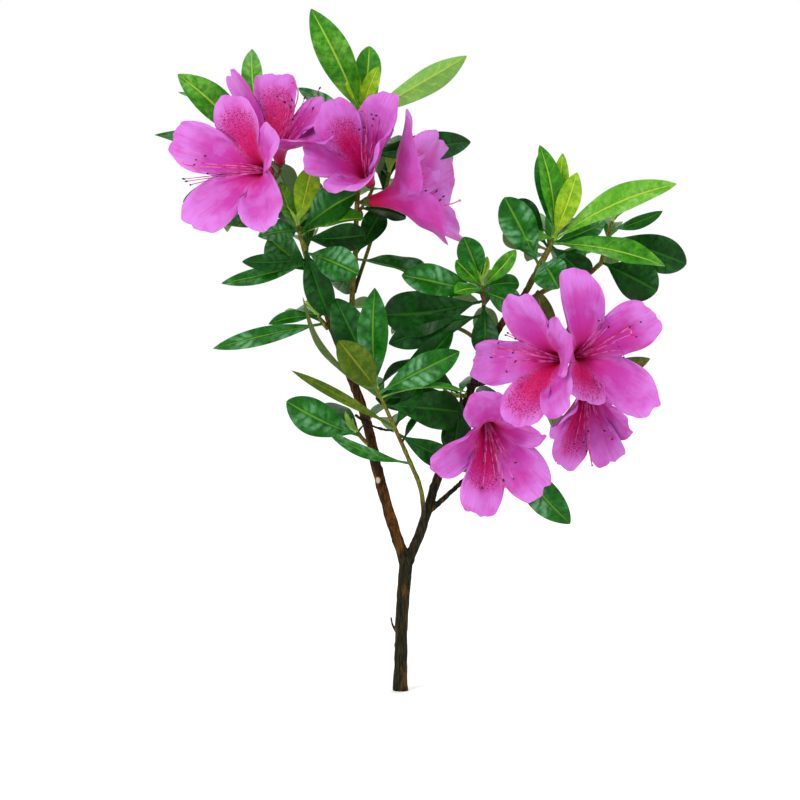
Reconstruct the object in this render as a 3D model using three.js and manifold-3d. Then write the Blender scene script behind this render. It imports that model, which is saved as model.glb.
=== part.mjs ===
// A young azalea shrub in full bloom: one stem that forks into slender boughs, whorls of leaves at
// their tips and eight large funnel-shaped blooms. Millimetres, +Z up. The origin is the middle of
// the flat cut at ground level. +X is to the right of the shrub's best side and -Y comes out of it.
import * as THREE from 'three';
import Module from 'manifold-3d';
import { mergeVertices } from 'three/addons/utils/BufferGeometryUtils.js';

const wasm = await Module();
wasm.setup();
const { Manifold } = wasm;

// Driving sizes. The gap between neighbouring pieces, and the smallest detail that is kept
const CLEAR = 0.3;
const SLIVER = 0.2;

// The trunk's centre line, its widths, the length of the arms at its fork and how deep they start
const TRUNK = {
  points: [[0, 0, 0], [0.4, 0, 12], [0.8, 0, 36], [2.2, 0, 58], [3.9, 0, 75]],
  flare: { height: 16, extra: 1.7 }, waist: 6.9, fork: 7.4, swellFrom: 36, swellTo: 70, arm: 4, crotch: 6,
};
const LIMB_STEP = 9;
const STUB_LENGTH = 7;
const STEM_TIP_WIDTH = 2;

// Leaves: 'fold' lifts the edges above the midrib and 'arch' bends the blade, as shares of its size
const LEAF = { thick: 1.3, stalk: 1.6, fold: 0.28, arch: 0.07, clearance: 0.5 };
// Leaves out of sight: their size, their droop to the back and the length of stem they share
const HIDDEN_LEAF = { length: 40, more: 16, slim: 0.3, lean: -38, leanMore: -42, jitter: 30, stem: 30 };
const GOLDEN_ANGLE = 137.5;
// Angles by which a leaf swings to the side when something is in its way
const SWINGS = [0, -8, 8, -16, 16, -24, 24, -34, 34];

// The funnel flares between two distances from its foot; petals part at 'sinus' and end at 'reach'
const BLOOM = {
  tubeWidth: 4, tubeSlope: 13, flareFrom: 4, flareTo: 26, sinus: 30, reach: 57, thick: 0.9, base: 1.4,
};
// A stalk of a bloom: its width, its straight start, its neck, and the least angle to its neighbour
const PEDICEL = { width: 1.8, start: 2.5, neck: 3.5, spread: 46 };
const STAMEN = { width: 0.9, length: 36, style: 50, fan: 32 };
const KNOB_WIDTH = 5.8;

const BARK = { colour: 0x3b3020, roughness: 0.85 };
const GREEN_BARK = { colour: 0x6b6a2c, roughness: 0.75 };
const FOLIAGE = { colour: 0x1f7a1c, roughness: 0.45 };
const PETAL = { colour: 0xd957c4, roughness: 0.6 };

// Boughs: the points that each one runs through, and its width at foot and tip
const LIMBS = [
  { name: 'left_bough', width: [6.3, 4.2], bark: BARK, points: [
    [-0.5, 0, 84], [-7, 0, 106], [-12, -1, 125], [-16, -1, 144], [-26, -1, 172], [-39, -2, 207],
    [-46, -2, 226]] },
  { name: 'middle_bough', width: [3.4, 3], bark: GREEN_BARK, points: [
    [-25.5, 3.5, 184], [-26.5, 8, 200], [-26, 11, 225], [-25, 12, 233]] },
  { name: 'right_bough', width: [5.6, 3.2], bark: BARK, points: [
    [8.6, 0, 84], [13, 2, 97], [20, 5, 119], [28, 7, 136], [39, 9, 166], [55, 8, 201], [68, 5, 219],
    [76, 4, 234]] },
  { name: 'front_twig', width: [2.6, 2.4], bark: GREEN_BARK, points: [
    [12.6, -3, 104.5], [12, -5.5, 110], [10.5, -8, 116]] },
  { name: 'right_low_twig', width: [2.8, 2.4], bark: BARK, points: [
    [20.6, 2, 103.6], [32, 1, 114], [53, 4, 131]] },
  { name: 'middle_right_twig', width: [2.4, 2.2], bark: GREEN_BARK, points: [
    [41.5, 5, 177], [44, 1, 190], [45, -2, 204]] },
  { name: 'far_right_twig', width: [3.2, 2.6], bark: GREEN_BARK, points: [
    [65.2, 9.8, 212], [84, 25, 222], [101, 34, 226], [111, 36, 234]] },
  { name: 'left_top_twig', width: [2.4, 2.2], bark: GREEN_BARK, points: [
    [-57.5, -4.5, 259], [-63, -1, 265], [-69, 2.5, 272]] },
  { name: 'back_left_twig', width: [2.6, 2.2], bark: GREEN_BARK, points: [
    [-41, 2.5, 214], [-52, 16, 233], [-72, 34, 262], [-84, 42, 275]] },
  { name: 'back_middle_twig', width: [2.4, 2.2], bark: GREEN_BARK, points: [
    [46.5, 13, 190], [37, 26, 197], [24, 37, 202]] },
  { name: 'back_right_twig', width: [2.6, 2.2], bark: GREEN_BARK, points: [
    [43, 13.5, 169], [62, 29, 172], [84, 43, 176]] },
  { name: 'back_top_twig', width: [2.2, 2], bark: GREEN_BARK, points: [
    [-23.5, 14.5, 226], [-18, 25, 242], [-11, 42, 264]] },
];

// Which limb carries the short stub that another limb grows on from
const STUBS = {
  trunk: ['left_bough', 'right_bough'],
  left_bough: ['middle_bough', 'back_left_twig'],
  right_bough: ['front_twig', 'right_low_twig', 'middle_right_twig', 'far_right_twig', 'back_middle_twig',
    'back_right_twig'],
  middle_bough: ['back_top_twig'],
};

// Masses of leaves. A stem grows on from its bough, or from a point beside it. Each leaf gives how
// far down from the stem's tip it sits, its bearing in the front view (0 right, 90 up), how far it
// leans to the viewer, its length and width, and how far its face turns up from the viewer.
// 'hidden' leaves are dealt out round the back of the stem.
const MASSES = [
  { name: 'left_leaves', from: 'left_bough', points: [[-52, -6, 244], [-56, -8, 259]], hidden: 5, seed: 146,
    leaves: [[1, 76, 5, 33, 14, 0], [4, -175, 50, 32, 13, 20], [5, 176, -20, 46, 13, 50],
      [5, 36, 25, 41, 20, 30], [7, 16, 38, 46, 16, 60], [6, 112, -12, 31, 10, 0], [9, 3, -15, 36, 16, 0],
      [21, -179, 20, 37, 10, 0], [23, -164, 5, 49, 10, 0], [17, -20, 30, 35, 19, 10],
      [30, 142, -25, 35, 19, 0], [14, -70, -28, 40, 16, 0]] },
  { name: 'left_top_leaves', from: 'left_top_twig', hidden: 6, seed: 38,
    points: [[-71, 4, 278], [-74, 8, 290], [-76, 10, 305]],
    leaves: [[9, 139, -5, 62, 18, 15], [11, 145, -22, 66, 12, 70], [2, 98, -26, 66, 14, 0],
      [15, 165, -12, 65, 11, 40], [27, -174, -10, 50, 12, -30], [16, 88, 14, 34, 12, 0]] },
  { name: 'middle_leaves', from: 'middle_bough', hidden: 7, seed: 5,
    points: [[-24, 14, 262], [-22, 22, 293], [-21, 26, 321]],
    leaves: [[82, 60, -22, 30, 14, 0], [84, -15, -10, 50, 18, 60], [84, -116, -20, 26, 14, 0],
      [76, -124, -34, 36, 16, 0], [56, -11, -10, 28, 12, 40], [5, 113, 5, 66, 21, 0], [6, 84, -15, 42, 15, 0],
      [2, 104, 10, 30, 9, 0], [2, 70, 10, 27, 9, 0], [5, 30, 10, 66, 15, 200], [26, 5, -20, 66, 16, 0],
      [20, 138, -20, 50, 11, 20]] },
  { name: 'front_leaves', from: 'front_twig', hidden: 3, seed: 1607,
    points: [[7, -12, 125], [-2, -18, 146], [-13, -26, 171]],
    leaves: [[1, 91, 10, 56, 17, 0], [3, 126, 30, 41, 18, 10], [4, 115, -10, 57, 20, 0],
      [8, 130, 0, 70, 10, -75], [26, 151, 0, 64, 6, 0], [4, 24, 10, 51, 18, 0], [7, 4, 22, 48, 8, 75],
      [12, -7, -25, 46, 22, 0], [10, 45, -18, 57, 14, 10], [26, 61, -5, 30, 10, 0],
      [36, 47, -22, 33, 9, 60], [30, -40, -14, 38, 11, -40], [49, 159, 6, 49, 8, -30]] },
  { name: 'left_low_leaves', from: [-18.5, -1, 138], hidden: 2, seed: 1751,
    points: [[-21, 0, 140.5], [-24, 3, 144]],
    leaves: [[4, 154, 8, 47, 23, 0]] },
  { name: 'left_middle_leaves', from: [-41, -2, 202.6], hidden: 2, seed: 2224,
    points: [[-42.5, -1.5, 204.5], [-45, 0, 208.5]],
    leaves: [[1, -172, 10, 28, 8, 30], [6, -170, 5, 62, 12, 0]] },
  { name: 'middle_right_leaves', from: 'middle_right_twig', hidden: 4, seed: 1948,
    points: [[46, -4, 218], [45, -6, 226]],
    leaves: [[0, 112, 10, 28, 15, 0], [2, 135, 14, 20, 8, 0], [0, 95, 5, 16, 5, 0], [0, 80, 5, 15, 5, 0],
      [2, 48, 0, 27, 9, 0], [2, 5, -15, 21, 10, 20], [4, -19, 14, 22, 15, 0], [4, 180, 45, 22, 11, 60],
      [6, 165, 4, 45, 14, 20], [12, -90, 20, 29, 15, 0], [10, -171, -15, 58, 26, 0],
      [18, -162, -12, 56, 17, 0]] },
  { name: 'lower_middle_leaves', from: [35, 7, 163.3], hidden: 2, seed: 1002,
    points: [[33.5, 6, 163.5], [31.5, 4.5, 163.5]],
    leaves: [[1, -178, -4, 46, 20, 10], [3, -98, -6, 32, 17, 0]] },
  { name: 'right_leaves', from: 'right_bough', hidden: 6, seed: 662,
    points: [[81, 4, 243], [85, 4, 252]],
    leaves: [[1, 100, 6, 50, 12, 20], [2, 97, -16, 51, 15, 0], [1, 85, -4, 45, 8, 0], [2, 70, 12, 39, 12, 0],
      [4, 26, 5, 75, 17, 30], [5, -11, 12, 64, 15, 35], [2, 169, 22, 27, 8, 0], [9, 157, 18, 28, 13, 200],
      [20, 116, 16, 44, 20, 0], [8, 130, -22, 34, 18, 0], [6, -57, -18, 24, 12, 0], [16, -59, 55, 26, 20, 0],
      [5, 4, -22, 34, 12, 60], [26, 14, -18, 29, 12, -20]] },
  { name: 'far_right_leaves', from: 'far_right_twig', hidden: 6, seed: 1944,
    points: [[116, 40, 248], [119, 42, 259]],
    leaves: [[10, -19, 5, 46, 24, 0], [25, -26, 10, 35, 20, 0], [6, 16, 0, 31, 8, -20]] },
  { name: 'truss_leaves', from: 'right_low_twig', hidden: 5, seed: 3,
    points: [[70, 5, 152], [84, -2, 173]],
    leaves: [[2, 98, -12, 52, 15, 0], [8, 60, -14, 64, 11, 0], [6, 15, -8, 60, 12, 0],
      [46, -51, -8, 58, 22, 0], [50, -151, -12, 32, 10, 20], [26, 158, -28, 50, 12, 0]] },
  { name: 'back_left_leaves', from: 'back_left_twig', hidden: 9, seed: 40,
    points: [[-90, 47, 284], [-93, 50, 291]], leaves: [] },
  { name: 'back_middle_leaves', from: 'back_middle_twig', hidden: 9, seed: 53,
    points: [[18, 42, 204], [14, 47, 206]], leaves: [] },
  { name: 'back_right_leaves', from: 'back_right_twig', hidden: 9, seed: 3,
    points: [[93, 48, 179], [98, 52, 183]], leaves: [] },
  { name: 'back_top_leaves', from: 'back_top_twig', hidden: 9, seed: 56,
    points: [[-8, 50, 275], [-6, 56, 286]], leaves: [] },
];

// Knobs on the stems that the stalks of the blooms spring from
const KNOBS = {
  left_knob: { on: 'left_top_leaves', at: [-71, 4, 278] },
  middle_knob: { on: 'middle_leaves', at: [-24, 14, 262] },
  truss_knob: { on: 'truss_leaves', at: [84, -2, 173] },
  low_knob: { on: 'truss_leaves', at: [70, 5, 152] },
};

// Blooms. 'foot' is the foot of the funnel, bearing and lean say which way it faces, roll is the
// clock angle of the first petal, each petal gives its opening from the axis, its share of the full
// reach and its width, and sweep is the clock angle and the amount of the stamens' lean.
const BLOOMS = [
  { name: 'left_front_bloom', knob: 'left_knob',
    foot: [-69.8, -6, 286.5], bearing: 163, lean: 48, roll: 4,
    petals: [[54, 0.91, 36], [51, 1.03, 29], [58, 1.01, 30], [71, 0.99, 27], [53, 0.99, 26]], sweep: [100, 28] },
  { name: 'left_back_bloom', knob: 'left_knob',
    foot: [-66.1, 13, 290.2], bearing: 93, lean: 35, roll: 6,
    petals: [[63, 0.97, 28], [24, 1.04, 14], [36, 0.75, 22], [47, 0.97, 28], [43, 0.71, 24]], sweep: [-60, 16] },
  { name: 'middle_left_bloom', knob: 'middle_knob',
    foot: [-16, -1, 279.6], bearing: 111, lean: 49, roll: 40,
    petals: [[24, 1, 36], [45, 0.85, 28], [47, 1.04, 28], [26, 1.05, 20], [36, 1.04, 29]], sweep: [-20, 18] },
  { name: 'middle_right_bloom', knob: 'middle_knob',
    foot: [-17.4, -6, 273.6], bearing: 22, lean: -2, roll: 50,
    petals: [[64, 1.14, 29], [70, 1.12, 37], [51, 1.05, 37], [25, 0.98, 37], [25, 0.88, 35]], sweep: [180, 16] },
  { name: 'truss_low_bloom', knob: 'low_knob',
    foot: [47, 9.5, 151.3], bearing: -70, lean: 56, roll: 162,
    petals: [[36, 1.02, 29], [36, 1.01, 29], [40, 0.93, 26], [66, 0.98, 26], [53, 0.97, 20]], sweep: [190, 20] },
  { name: 'truss_left_bloom', knob: 'truss_knob',
    foot: [89, -29, 187], bearing: 182, lean: 54, roll: 163,
    petals: [[59, 0.85, 30], [51, 1, 17], [46, 0.99, 20], [62, 0.9, 28], [80, 0.96, 28]], sweep: [60, 18] },
  { name: 'truss_right_bloom', knob: 'truss_knob',
    foot: [93.9, -17, 186.9], bearing: 21, lean: 58, roll: 7,
    petals: [[82, 0.98, 25], [40, 0.7, 18], [49, 0.97, 30], [54, 1.01, 35], [39, 0.99, 32]], sweep: [-50, 18] },
  { name: 'truss_under_bloom', knob: 'truss_knob',
    foot: [102.5, 13, 172.1], bearing: -85, lean: 39, roll: 145,
    petals: [[30, 0.92, 28], [24, 0.9, 31], [33, 0.76, 26], [60, 0.8, 22], [38, 0.85, 24]], sweep: [180, 20] },
];

const vector = (list) => new THREE.Vector3(...list);
const radians = THREE.MathUtils.degToRad;
const mix = THREE.MathUtils.lerp;
const smooth = (x, from, to) => THREE.MathUtils.smoothstep(x, from, to);

// A direction from its bearing in the front view and its lean to the viewer
function direction(bearing, lean) {
  const across = Math.cos(radians(lean));
  return new THREE.Vector3(
    Math.cos(radians(bearing)) * across,
    -Math.sin(radians(lean)),
    Math.sin(radians(bearing)) * across,
  );
}

// The same small generator of even numbers from 0 to 1 for a given seed
function dealer(seed) {
  let state = seed >>> 0;
  return () => {
    state = (Math.imul(state, 1664525) + 1013904223) >>> 0;
    return state / 4294967296;
  };
}

function solid(points, faces) {
  const vertProperties = new Float32Array(points.flatMap((point) => point.toArray()));
  const triVerts = new Uint32Array(faces.flat());
  return new Manifold(new wasm.Mesh({ numProp: 3, vertProperties, triVerts }));
}

// Joins solids into one, and drops the slivers and pinholes that the seams leave
function fused(solids) {
  const whole = solids.reduce((sum, piece) => sum.add(piece)).asOriginal().simplify(SLIVER);
  const bodies = whole.decompose().sort((a, b) => b.volume() - a.volume());
  if (bodies.length > 1 && bodies[1].volume() > SLIVER ** 3) throw new Error('this solid has a loose piece');
  return bodies[0];
}

// Faces between two rings of equal count, and a fan that closes a ring
function bridge(lower, upper, count) {
  const faces = [];
  for (let i = 0; i < count; i += 1) {
    const next = (i + 1) % count;
    faces.push([lower + i, lower + next, upper + next], [lower + i, upper + next, upper + i]);
  }
  return faces;
}

function fan(ring, centre, count, flip) {
  const faces = [];
  for (let i = 0; i < count; i += 1) {
    const next = (i + 1) % count;
    faces.push(flip ? [ring + next, ring + i, centre] : [ring + i, ring + next, centre]);
  }
  return faces;
}

// A round limb along a row of points, with a width at each of them
function tube(path, widths, sides) {
  const points = [];
  const faces = [];
  let across = null;
  path.forEach((centre, i) => {
    const before = path[Math.max(i - 1, 0)];
    const after = path[Math.min(i + 1, path.length - 1)];
    const along = after.clone().sub(before).normalize();
    if (across === null) across = new THREE.Vector3(0, -1, 0.05);
    across = across.clone().addScaledVector(along, -across.dot(along)).normalize();
    const up = along.clone().cross(across);
    for (let k = 0; k < sides; k += 1) {
      const turn = (2 * Math.PI * k) / sides;
      points.push(centre.clone()
        .addScaledVector(across, (Math.cos(turn) * widths[i]) / 2)
        .addScaledVector(up, (Math.sin(turn) * widths[i]) / 2));
    }
  });
  for (let i = 0; i < path.length - 1; i += 1) faces.push(...bridge(i * sides, (i + 1) * sides, sides));
  points.push(path[0], path[path.length - 1]);
  faces.push(...fan(0, points.length - 2, sides, true));
  faces.push(...fan((path.length - 1) * sides, points.length - 1, sides, false));
  return solid(points, faces);
}

// A limb's centre line and widths, evenly stepped along a smooth curve through its points
function limbPath(points, [footWidth, tipWidth], step) {
  const curve = new THREE.CatmullRomCurve3(points, false, 'centripetal');
  const steps = Math.max(2, Math.round(curve.getLength() / step));
  const path = curve.getSpacedPoints(steps);
  const widths = path.map((_, i) => mix(footWidth, tipWidth, i / steps));
  return { path, widths };
}

function knob(centre) {
  const ball = new THREE.SphereGeometry(KNOB_WIDTH / 2, 8, 6);
  ball.translate(centre.x, centre.y, centre.z);
  ball.deleteAttribute('normal');
  ball.deleteAttribute('uv');
  const whole = mergeVertices(ball);
  const vertProperties = new Float32Array(whole.attributes.position.array);
  const triVerts = new Uint32Array(whole.index.array);
  return new Manifold(new wasm.Mesh({ numProp: 3, vertProperties, triVerts }));
}

// The face of a leaf that runs along 'along': turned to the viewer, then up by 'turn'
function leafFace(along, turn) {
  const viewer = new THREE.Vector3(0, -1, 0);
  viewer.addScaledVector(along, -viewer.dot(along)).normalize();
  const side = viewer.clone().cross(along);
  if (along.x < -1e-6) side.negate();
  return viewer.multiplyScalar(Math.cos(radians(turn))).addScaledVector(side, Math.sin(radians(turn)));
}

// A blade with a folded midrib: a stalk, four cross-sections and a point
const LEAF_OUTLINE = [[0, 0], [0.12, 0.14], [0.4, 0.78], [0.76, 0.94], [1, 0]];

function leaf(root, along, face, length, width, swell) {
  const side = face.clone().cross(along).normalize();
  const points = [];
  const faces = [];
  LEAF_OUTLINE.forEach(([reach, spread]) => {
    const arch = LEAF.arch * length * 4 * reach * (1 - reach);
    const centre = root.clone().addScaledVector(along, length * reach).addScaledVector(face, arch);
    if (reach === 1) {
      points.push(centre);
      return;
    }
    const half = Math.max((width / 2) * spread, LEAF.stalk / 2) + swell;
    const lift = spread > 0.2 ? LEAF.fold * half : 0;
    const deep = LEAF.thick / 2 + swell;
    points.push(
      centre.clone().addScaledVector(side, half).addScaledVector(face, lift),
      centre.clone().addScaledVector(face, deep),
      centre.clone().addScaledVector(side, -half).addScaledVector(face, lift),
      centre.clone().addScaledVector(face, -deep),
    );
  });
  const rings = LEAF_OUTLINE.length - 1;
  for (let i = 0; i < rings - 1; i += 1) faces.push(...bridge(4 * i, 4 * i + 4, 4));
  faces.push(...fan(4 * (rings - 1), points.length - 1, 4, false));
  faces.push([0, 2, 1], [0, 3, 2]);
  return solid(points, faces);
}

// Half of the angle between two petals, how squarely a petal ends, how sharply it widens towards the
// seam with its neighbour, and how sharply its opening turns into its neighbour's there
const PETAL_HALF = 36;
const ROUNDING = 2.6;
const SEAM = 12;
const BLEND = 3;
const COLUMNS = [-1, -0.84, -0.44, 0, 0.44, 0.84];
const RINGS = [0, 0.36, 0.68, 1];
const PETAL_STEPS = 24;

// How far up a column of the funnel reaches
function columnReach(across, long) {
  const lobe = Math.sqrt(1 - Math.abs(across) ** ROUNDING);
  return mix(BLOOM.sinus, BLOOM.reach * long, lobe);
}

// Where a petal's surface lies at a distance along it: radius, height and slope from the axis
function petalAt(distance, open) {
  const steps = PETAL_STEPS;
  let radius = BLOOM.tubeWidth / 2;
  let height = 0;
  let slope = 0;
  for (let i = 0; i <= steps; i += 1) {
    const here = (distance * (i + 0.5)) / (steps + 1);
    slope = radians(mix(BLOOM.tubeSlope, open, smooth(here, BLOOM.flareFrom, BLOOM.flareTo)));
    radius += (Math.sin(slope) * distance) / (steps + 1);
    height += (Math.cos(slope) * distance) / (steps + 1);
  }
  return { radius, height, slope };
}

function bloomFrame(bloom) {
  const axis = direction(bloom.bearing, bloom.lean);
  const up = new THREE.Vector3(0, 0, 1).addScaledVector(axis, -axis.z).normalize();
  const left = axis.clone().cross(up);
  return { foot: vector(bloom.foot), axis, up, left };
}

function inBloom(frame, clock, radius, height) {
  return frame.foot.clone()
    .addScaledVector(frame.axis, height)
    .addScaledVector(frame.up, Math.cos(radians(clock)) * radius)
    .addScaledVector(frame.left, Math.sin(radians(clock)) * radius);
}

// The funnel: an outer and an inner skin of columns, closed at the rim and at the foot
function corolla(bloom, frame) {
  const outer = [];
  const inner = [];
  RINGS.forEach((ring) => {
    bloom.petals.forEach(([open, long, wide], k) => {
      const beforeOpen = bloom.petals[(k + 4) % 5][0];
      COLUMNS.forEach((across) => {
        const shared = Math.abs(across) ** BLEND / 2;
        const opening = across < 0 ? mix(open, beforeOpen, shared) : open;
        const distance = ring * columnReach(across, long);
        const { radius, height, slope } = petalAt(distance, opening);
        const lobeHalf = Math.min(PETAL_HALF, THREE.MathUtils.radToDeg(wide / 2 / radius));
        const spread = mix(lobeHalf, PETAL_HALF, Math.abs(across) ** SEAM);
        const clock = bloom.roll + 72 * k + across * spread;
        const out = (Math.cos(slope) * BLOOM.thick) / 2;
        const rise = (Math.sin(slope) * BLOOM.thick) / 2;
        const floor = ring === 0 ? BLOOM.base : 0;
        outer.push(inBloom(frame, clock, radius + out, height - rise));
        inner.push(inBloom(frame, clock, radius - out, height + rise + floor));
      });
    });
  });
  const count = 5 * COLUMNS.length;
  const last = (RINGS.length - 1) * count;
  const shift = outer.length;
  const points = [...outer, ...inner, inBloom(frame, 0, 0, 0), inBloom(frame, 0, 0, BLOOM.base)];
  const faces = [];
  for (let i = 0; i < RINGS.length - 1; i += 1) {
    faces.push(...bridge(i * count, (i + 1) * count, count));
    faces.push(...bridge(shift + (i + 1) * count, shift + i * count, count));
  }
  faces.push(...bridge(last, shift + last, count));
  faces.push(...fan(0, points.length - 2, count, true));
  faces.push(...fan(shift, points.length - 1, count, false));
  return solid(points, faces);
}

// Two stamens and the longer style between them, which lean more and more to one side
function stamens(bloom, frame) {
  const [clock, lean] = bloom.sweep;
  return [-1, 0, 1].map((place) => {
    const isStyle = place === 0;
    const long = isStyle ? STAMEN.style : STAMEN.length;
    const most = isStyle ? lean - 6 : lean;
    const path = [0, 0.4, 0.75, 1].map((reach) => (
      inBloom(frame, clock + STAMEN.fan * place, reach ** 2 * most, CLEAR + reach * long)
    ));
    return tube(path, path.map(() => STAMEN.width), 3);
  });
}

// The directions in which the stalks of one knob leave it, pushed apart until none touch
function leavingWays(blooms, knobCentre) {
  const ways = blooms.map(({ frame }) => (
    frame.foot.clone().addScaledVector(frame.axis, -PEDICEL.neck).sub(knobCentre).normalize()
  ));
  for (let round = 0; round < 40; round += 1) {
    ways.forEach((way, i) => ways.slice(i + 1).forEach((other) => {
      if (way.angleTo(other) > radians(PEDICEL.spread)) return;
      const apart = way.clone().sub(other).multiplyScalar(0.05);
      way.add(apart).normalize();
      other.sub(apart).normalize();
    }));
  }
  return ways;
}

// The bloom's stalk, from the knob at the shoot's tip to the foot of the funnel
function pedicel(frame, knobCentre, way) {
  const start = knobCentre.clone().addScaledVector(way, KNOB_WIDTH / 2 + CLEAR + 0.1);
  const elbow = start.clone().addScaledVector(way, PEDICEL.start);
  const neck = frame.foot.clone().addScaledVector(frame.axis, -PEDICEL.neck);
  const end = frame.foot.clone().addScaledVector(frame.axis, 0.6);
  const widths = [1, 1, 1.3, 1.9].map((share) => share * PEDICEL.width);
  return tube([start, elbow, neck, end], widths, 6);
}

const shrub = new THREE.Group();
shrub.name = 'azalea_shrub';
const placed = [];
const limbs = {};

function addPiece(name, whole, finish) {
  const mesh = whole.getMesh();
  const geometry = new THREE.BufferGeometry();
  geometry.setAttribute('position', new THREE.BufferAttribute(mesh.vertProperties, 3));
  geometry.setIndex(new THREE.BufferAttribute(mesh.triVerts, 1));
  geometry.computeVertexNormals();
  const material = new THREE.MeshStandardMaterial({
    color: finish.colour, roughness: finish.roughness, metalness: 0, flatShading: true,
  });
  const piece = new THREE.Mesh(geometry, material);
  piece.name = name;
  shrub.add(piece);
  placed.push({ name, whole, box: whole.boundingBox() });
}

function boxesMeet(a, b) {
  return [0, 1, 2].every((axis) => a.min[axis] <= b.max[axis] && b.min[axis] <= a.max[axis]);
}

// Whether a shape, drawn a little fuller than it is, touches none of the other pieces placed so far
function isFree(shape, owner) {
  const box = shape.boundingBox();
  return placed.every((other) => (
    other.name === owner || !boxesMeet(box, other.box) || shape.intersect(other.whole).isEmpty()
  ));
}

// The short stub on a parent limb that a branch grows on from, cut clear of the branch's foot
function stubFor(branch) {
  const { path, widths } = limbs[branch];
  const back = path[0].clone().sub(path[1]).normalize();
  const end = path[0].clone().addScaledVector(back, CLEAR);
  const start = path[0].clone().addScaledVector(back, STUB_LENGTH);
  return tube([start, end], [widths[0], widths[0]], 8);
}

// An arm of the trunk's fork: out of the column, then straight on to where its bough starts
function forkArm(branch, root) {
  const { path, widths } = limbs[branch];
  const back = path[0].clone().sub(path[1]).normalize();
  const end = path[0].clone().addScaledVector(back, CLEAR);
  const bend = end.clone().addScaledVector(back, TRUNK.arm);
  return tube([root, bend, end], [widths[0], widths[0], widths[0]], 10);
}

function addTrunk() {
  const { path } = limbPath(TRUNK.points.map(vector), [1, 1], LIMB_STEP);
  const widths = path.map(({ z }) => (
    mix(TRUNK.waist, TRUNK.fork, smooth(z, TRUNK.swellFrom, TRUNK.swellTo))
      + TRUNK.flare.extra * (1 - smooth(z, 0, TRUNK.flare.height))
  ));
  const root = path[path.length - 1].clone().add(vector([0, 0, -TRUNK.crotch]));
  const arms = STUBS.trunk.map((branch) => forkArm(branch, root));
  const groundLevel = 0;
  const whole = fused([tube(path, widths, 12), ...arms]).trimByPlane([0, 0, 1], groundLevel);
  addPiece('trunk', whole, BARK);
}

function addLimbs() {
  LIMBS.forEach(({ name, points, width }) => {
    limbs[name] = limbPath(points.map(vector), width, LIMB_STEP);
  });
  addTrunk();
  LIMBS.forEach(({ name, bark }) => {
    const { path, widths } = limbs[name];
    const stubs = (STUBS[name] ?? []).map(stubFor);
    addPiece(name, fused([tube(path, widths, 8), ...stubs]), bark);
  });
}

// A mass's stem starts where its bough ends, or at a point just beside it
function massStem(mass) {
  const points = mass.points.map(vector);
  if (typeof mass.from === 'string') {
    const { path, widths } = limbs[mass.from];
    const tip = path[path.length - 1];
    const onward = tip.clone().sub(path[path.length - 2]).normalize();
    const start = tip.clone().addScaledVector(onward, CLEAR);
    points.unshift(start.clone().addScaledVector(onward, 1.5));
    const footWidth = widths[widths.length - 1];
    const stem = limbPath(points, [footWidth, STEM_TIP_WIDTH], 6);
    return { path: [start, ...stem.path], widths: [footWidth, ...stem.widths] };
  }
  points.unshift(vector(mass.from));
  return limbPath(points, [STEM_TIP_WIDTH, STEM_TIP_WIDTH], 4);
}

function pointDown(path, down) {
  let left = down;
  for (let i = path.length - 1; i > 0; i -= 1) {
    const step = path[i].distanceTo(path[i - 1]);
    if (left <= step) return path[i].clone().lerp(path[i - 1], left / step);
    left -= step;
  }
  return path[0].clone().lerp(path[1], 0.5);
}

// The first swing of a leaf that touches nothing, or null where there is none
function settled(owner, root, bearing, lean, length, width, faceOf) {
  for (const swing of SWINGS) {
    const along = direction(bearing, lean + swing);
    const face = faceOf(along);
    const start = root.clone().addScaledVector(along, 0.2);
    const fuller = leaf(start, along, face, length + LEAF.clearance, width, LEAF.clearance);
    if (isFree(fuller, owner)) return leaf(start, along, face, length, width, 0);
  }
  return null;
}

function shownLeaves(mass, path) {
  return mass.leaves.map(([down, bearing, lean, length, width, turn]) => (
    settled(mass.name, pointDown(path, down), bearing, lean, length, width, (along) => leafFace(along, turn))
  ));
}

// Leaves round the back of a stem, a golden angle apart, their faces turned up the stem
function hiddenLeaves(mass, path) {
  const deal = dealer(mass.seed);
  const upward = path[path.length - 1].clone().sub(path[0]).normalize();
  upward.add(new THREE.Vector3(0, 0, 0.8));
  const share = Math.min(path.length * 4, HIDDEN_LEAF.stem) / mass.hidden;
  return Array.from({ length: mass.hidden }, (_, i) => {
    const bearing = i * GOLDEN_ANGLE + HIDDEN_LEAF.jitter * deal();
    const lean = HIDDEN_LEAF.lean + HIDDEN_LEAF.leanMore * deal();
    const long = HIDDEN_LEAF.length + HIDDEN_LEAF.more * deal();
    const root = pointDown(path, 1 + share * i);
    const faceOf = (along) => upward.clone().addScaledVector(along, -upward.dot(along)).normalize();
    return settled(mass.name, root, bearing, lean, long, long * HIDDEN_LEAF.slim, faceOf);
  });
}

// The blooms of one knob
function addBlooms(knobName) {
  const centre = vector(KNOBS[knobName].at);
  const blooms = BLOOMS.filter((bloom) => bloom.knob === knobName)
    .map((bloom) => ({ bloom, frame: bloomFrame(bloom) }));
  const ways = leavingWays(blooms, centre);
  blooms.forEach(({ bloom, frame }, i) => {
    const pieces = [corolla(bloom, frame), pedicel(frame, centre, ways[i]), ...stamens(bloom, frame)];
    addPiece(bloom.name, fused(pieces), PETAL);
  });
}

// Every stem, with its knobs, is in place before the first leaf grows
function placeStem(mass) {
  const { path, widths } = massStem(mass);
  const knobs = Object.values(KNOBS).filter(({ on }) => on === mass.name);
  const whole = fused([tube(path, widths, 6), ...knobs.map(({ at }) => knob(vector(at)))]);
  placed.push({ name: mass.name, whole, box: whole.boundingBox() });
  return { mass, path, stem: whole };
}

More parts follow.
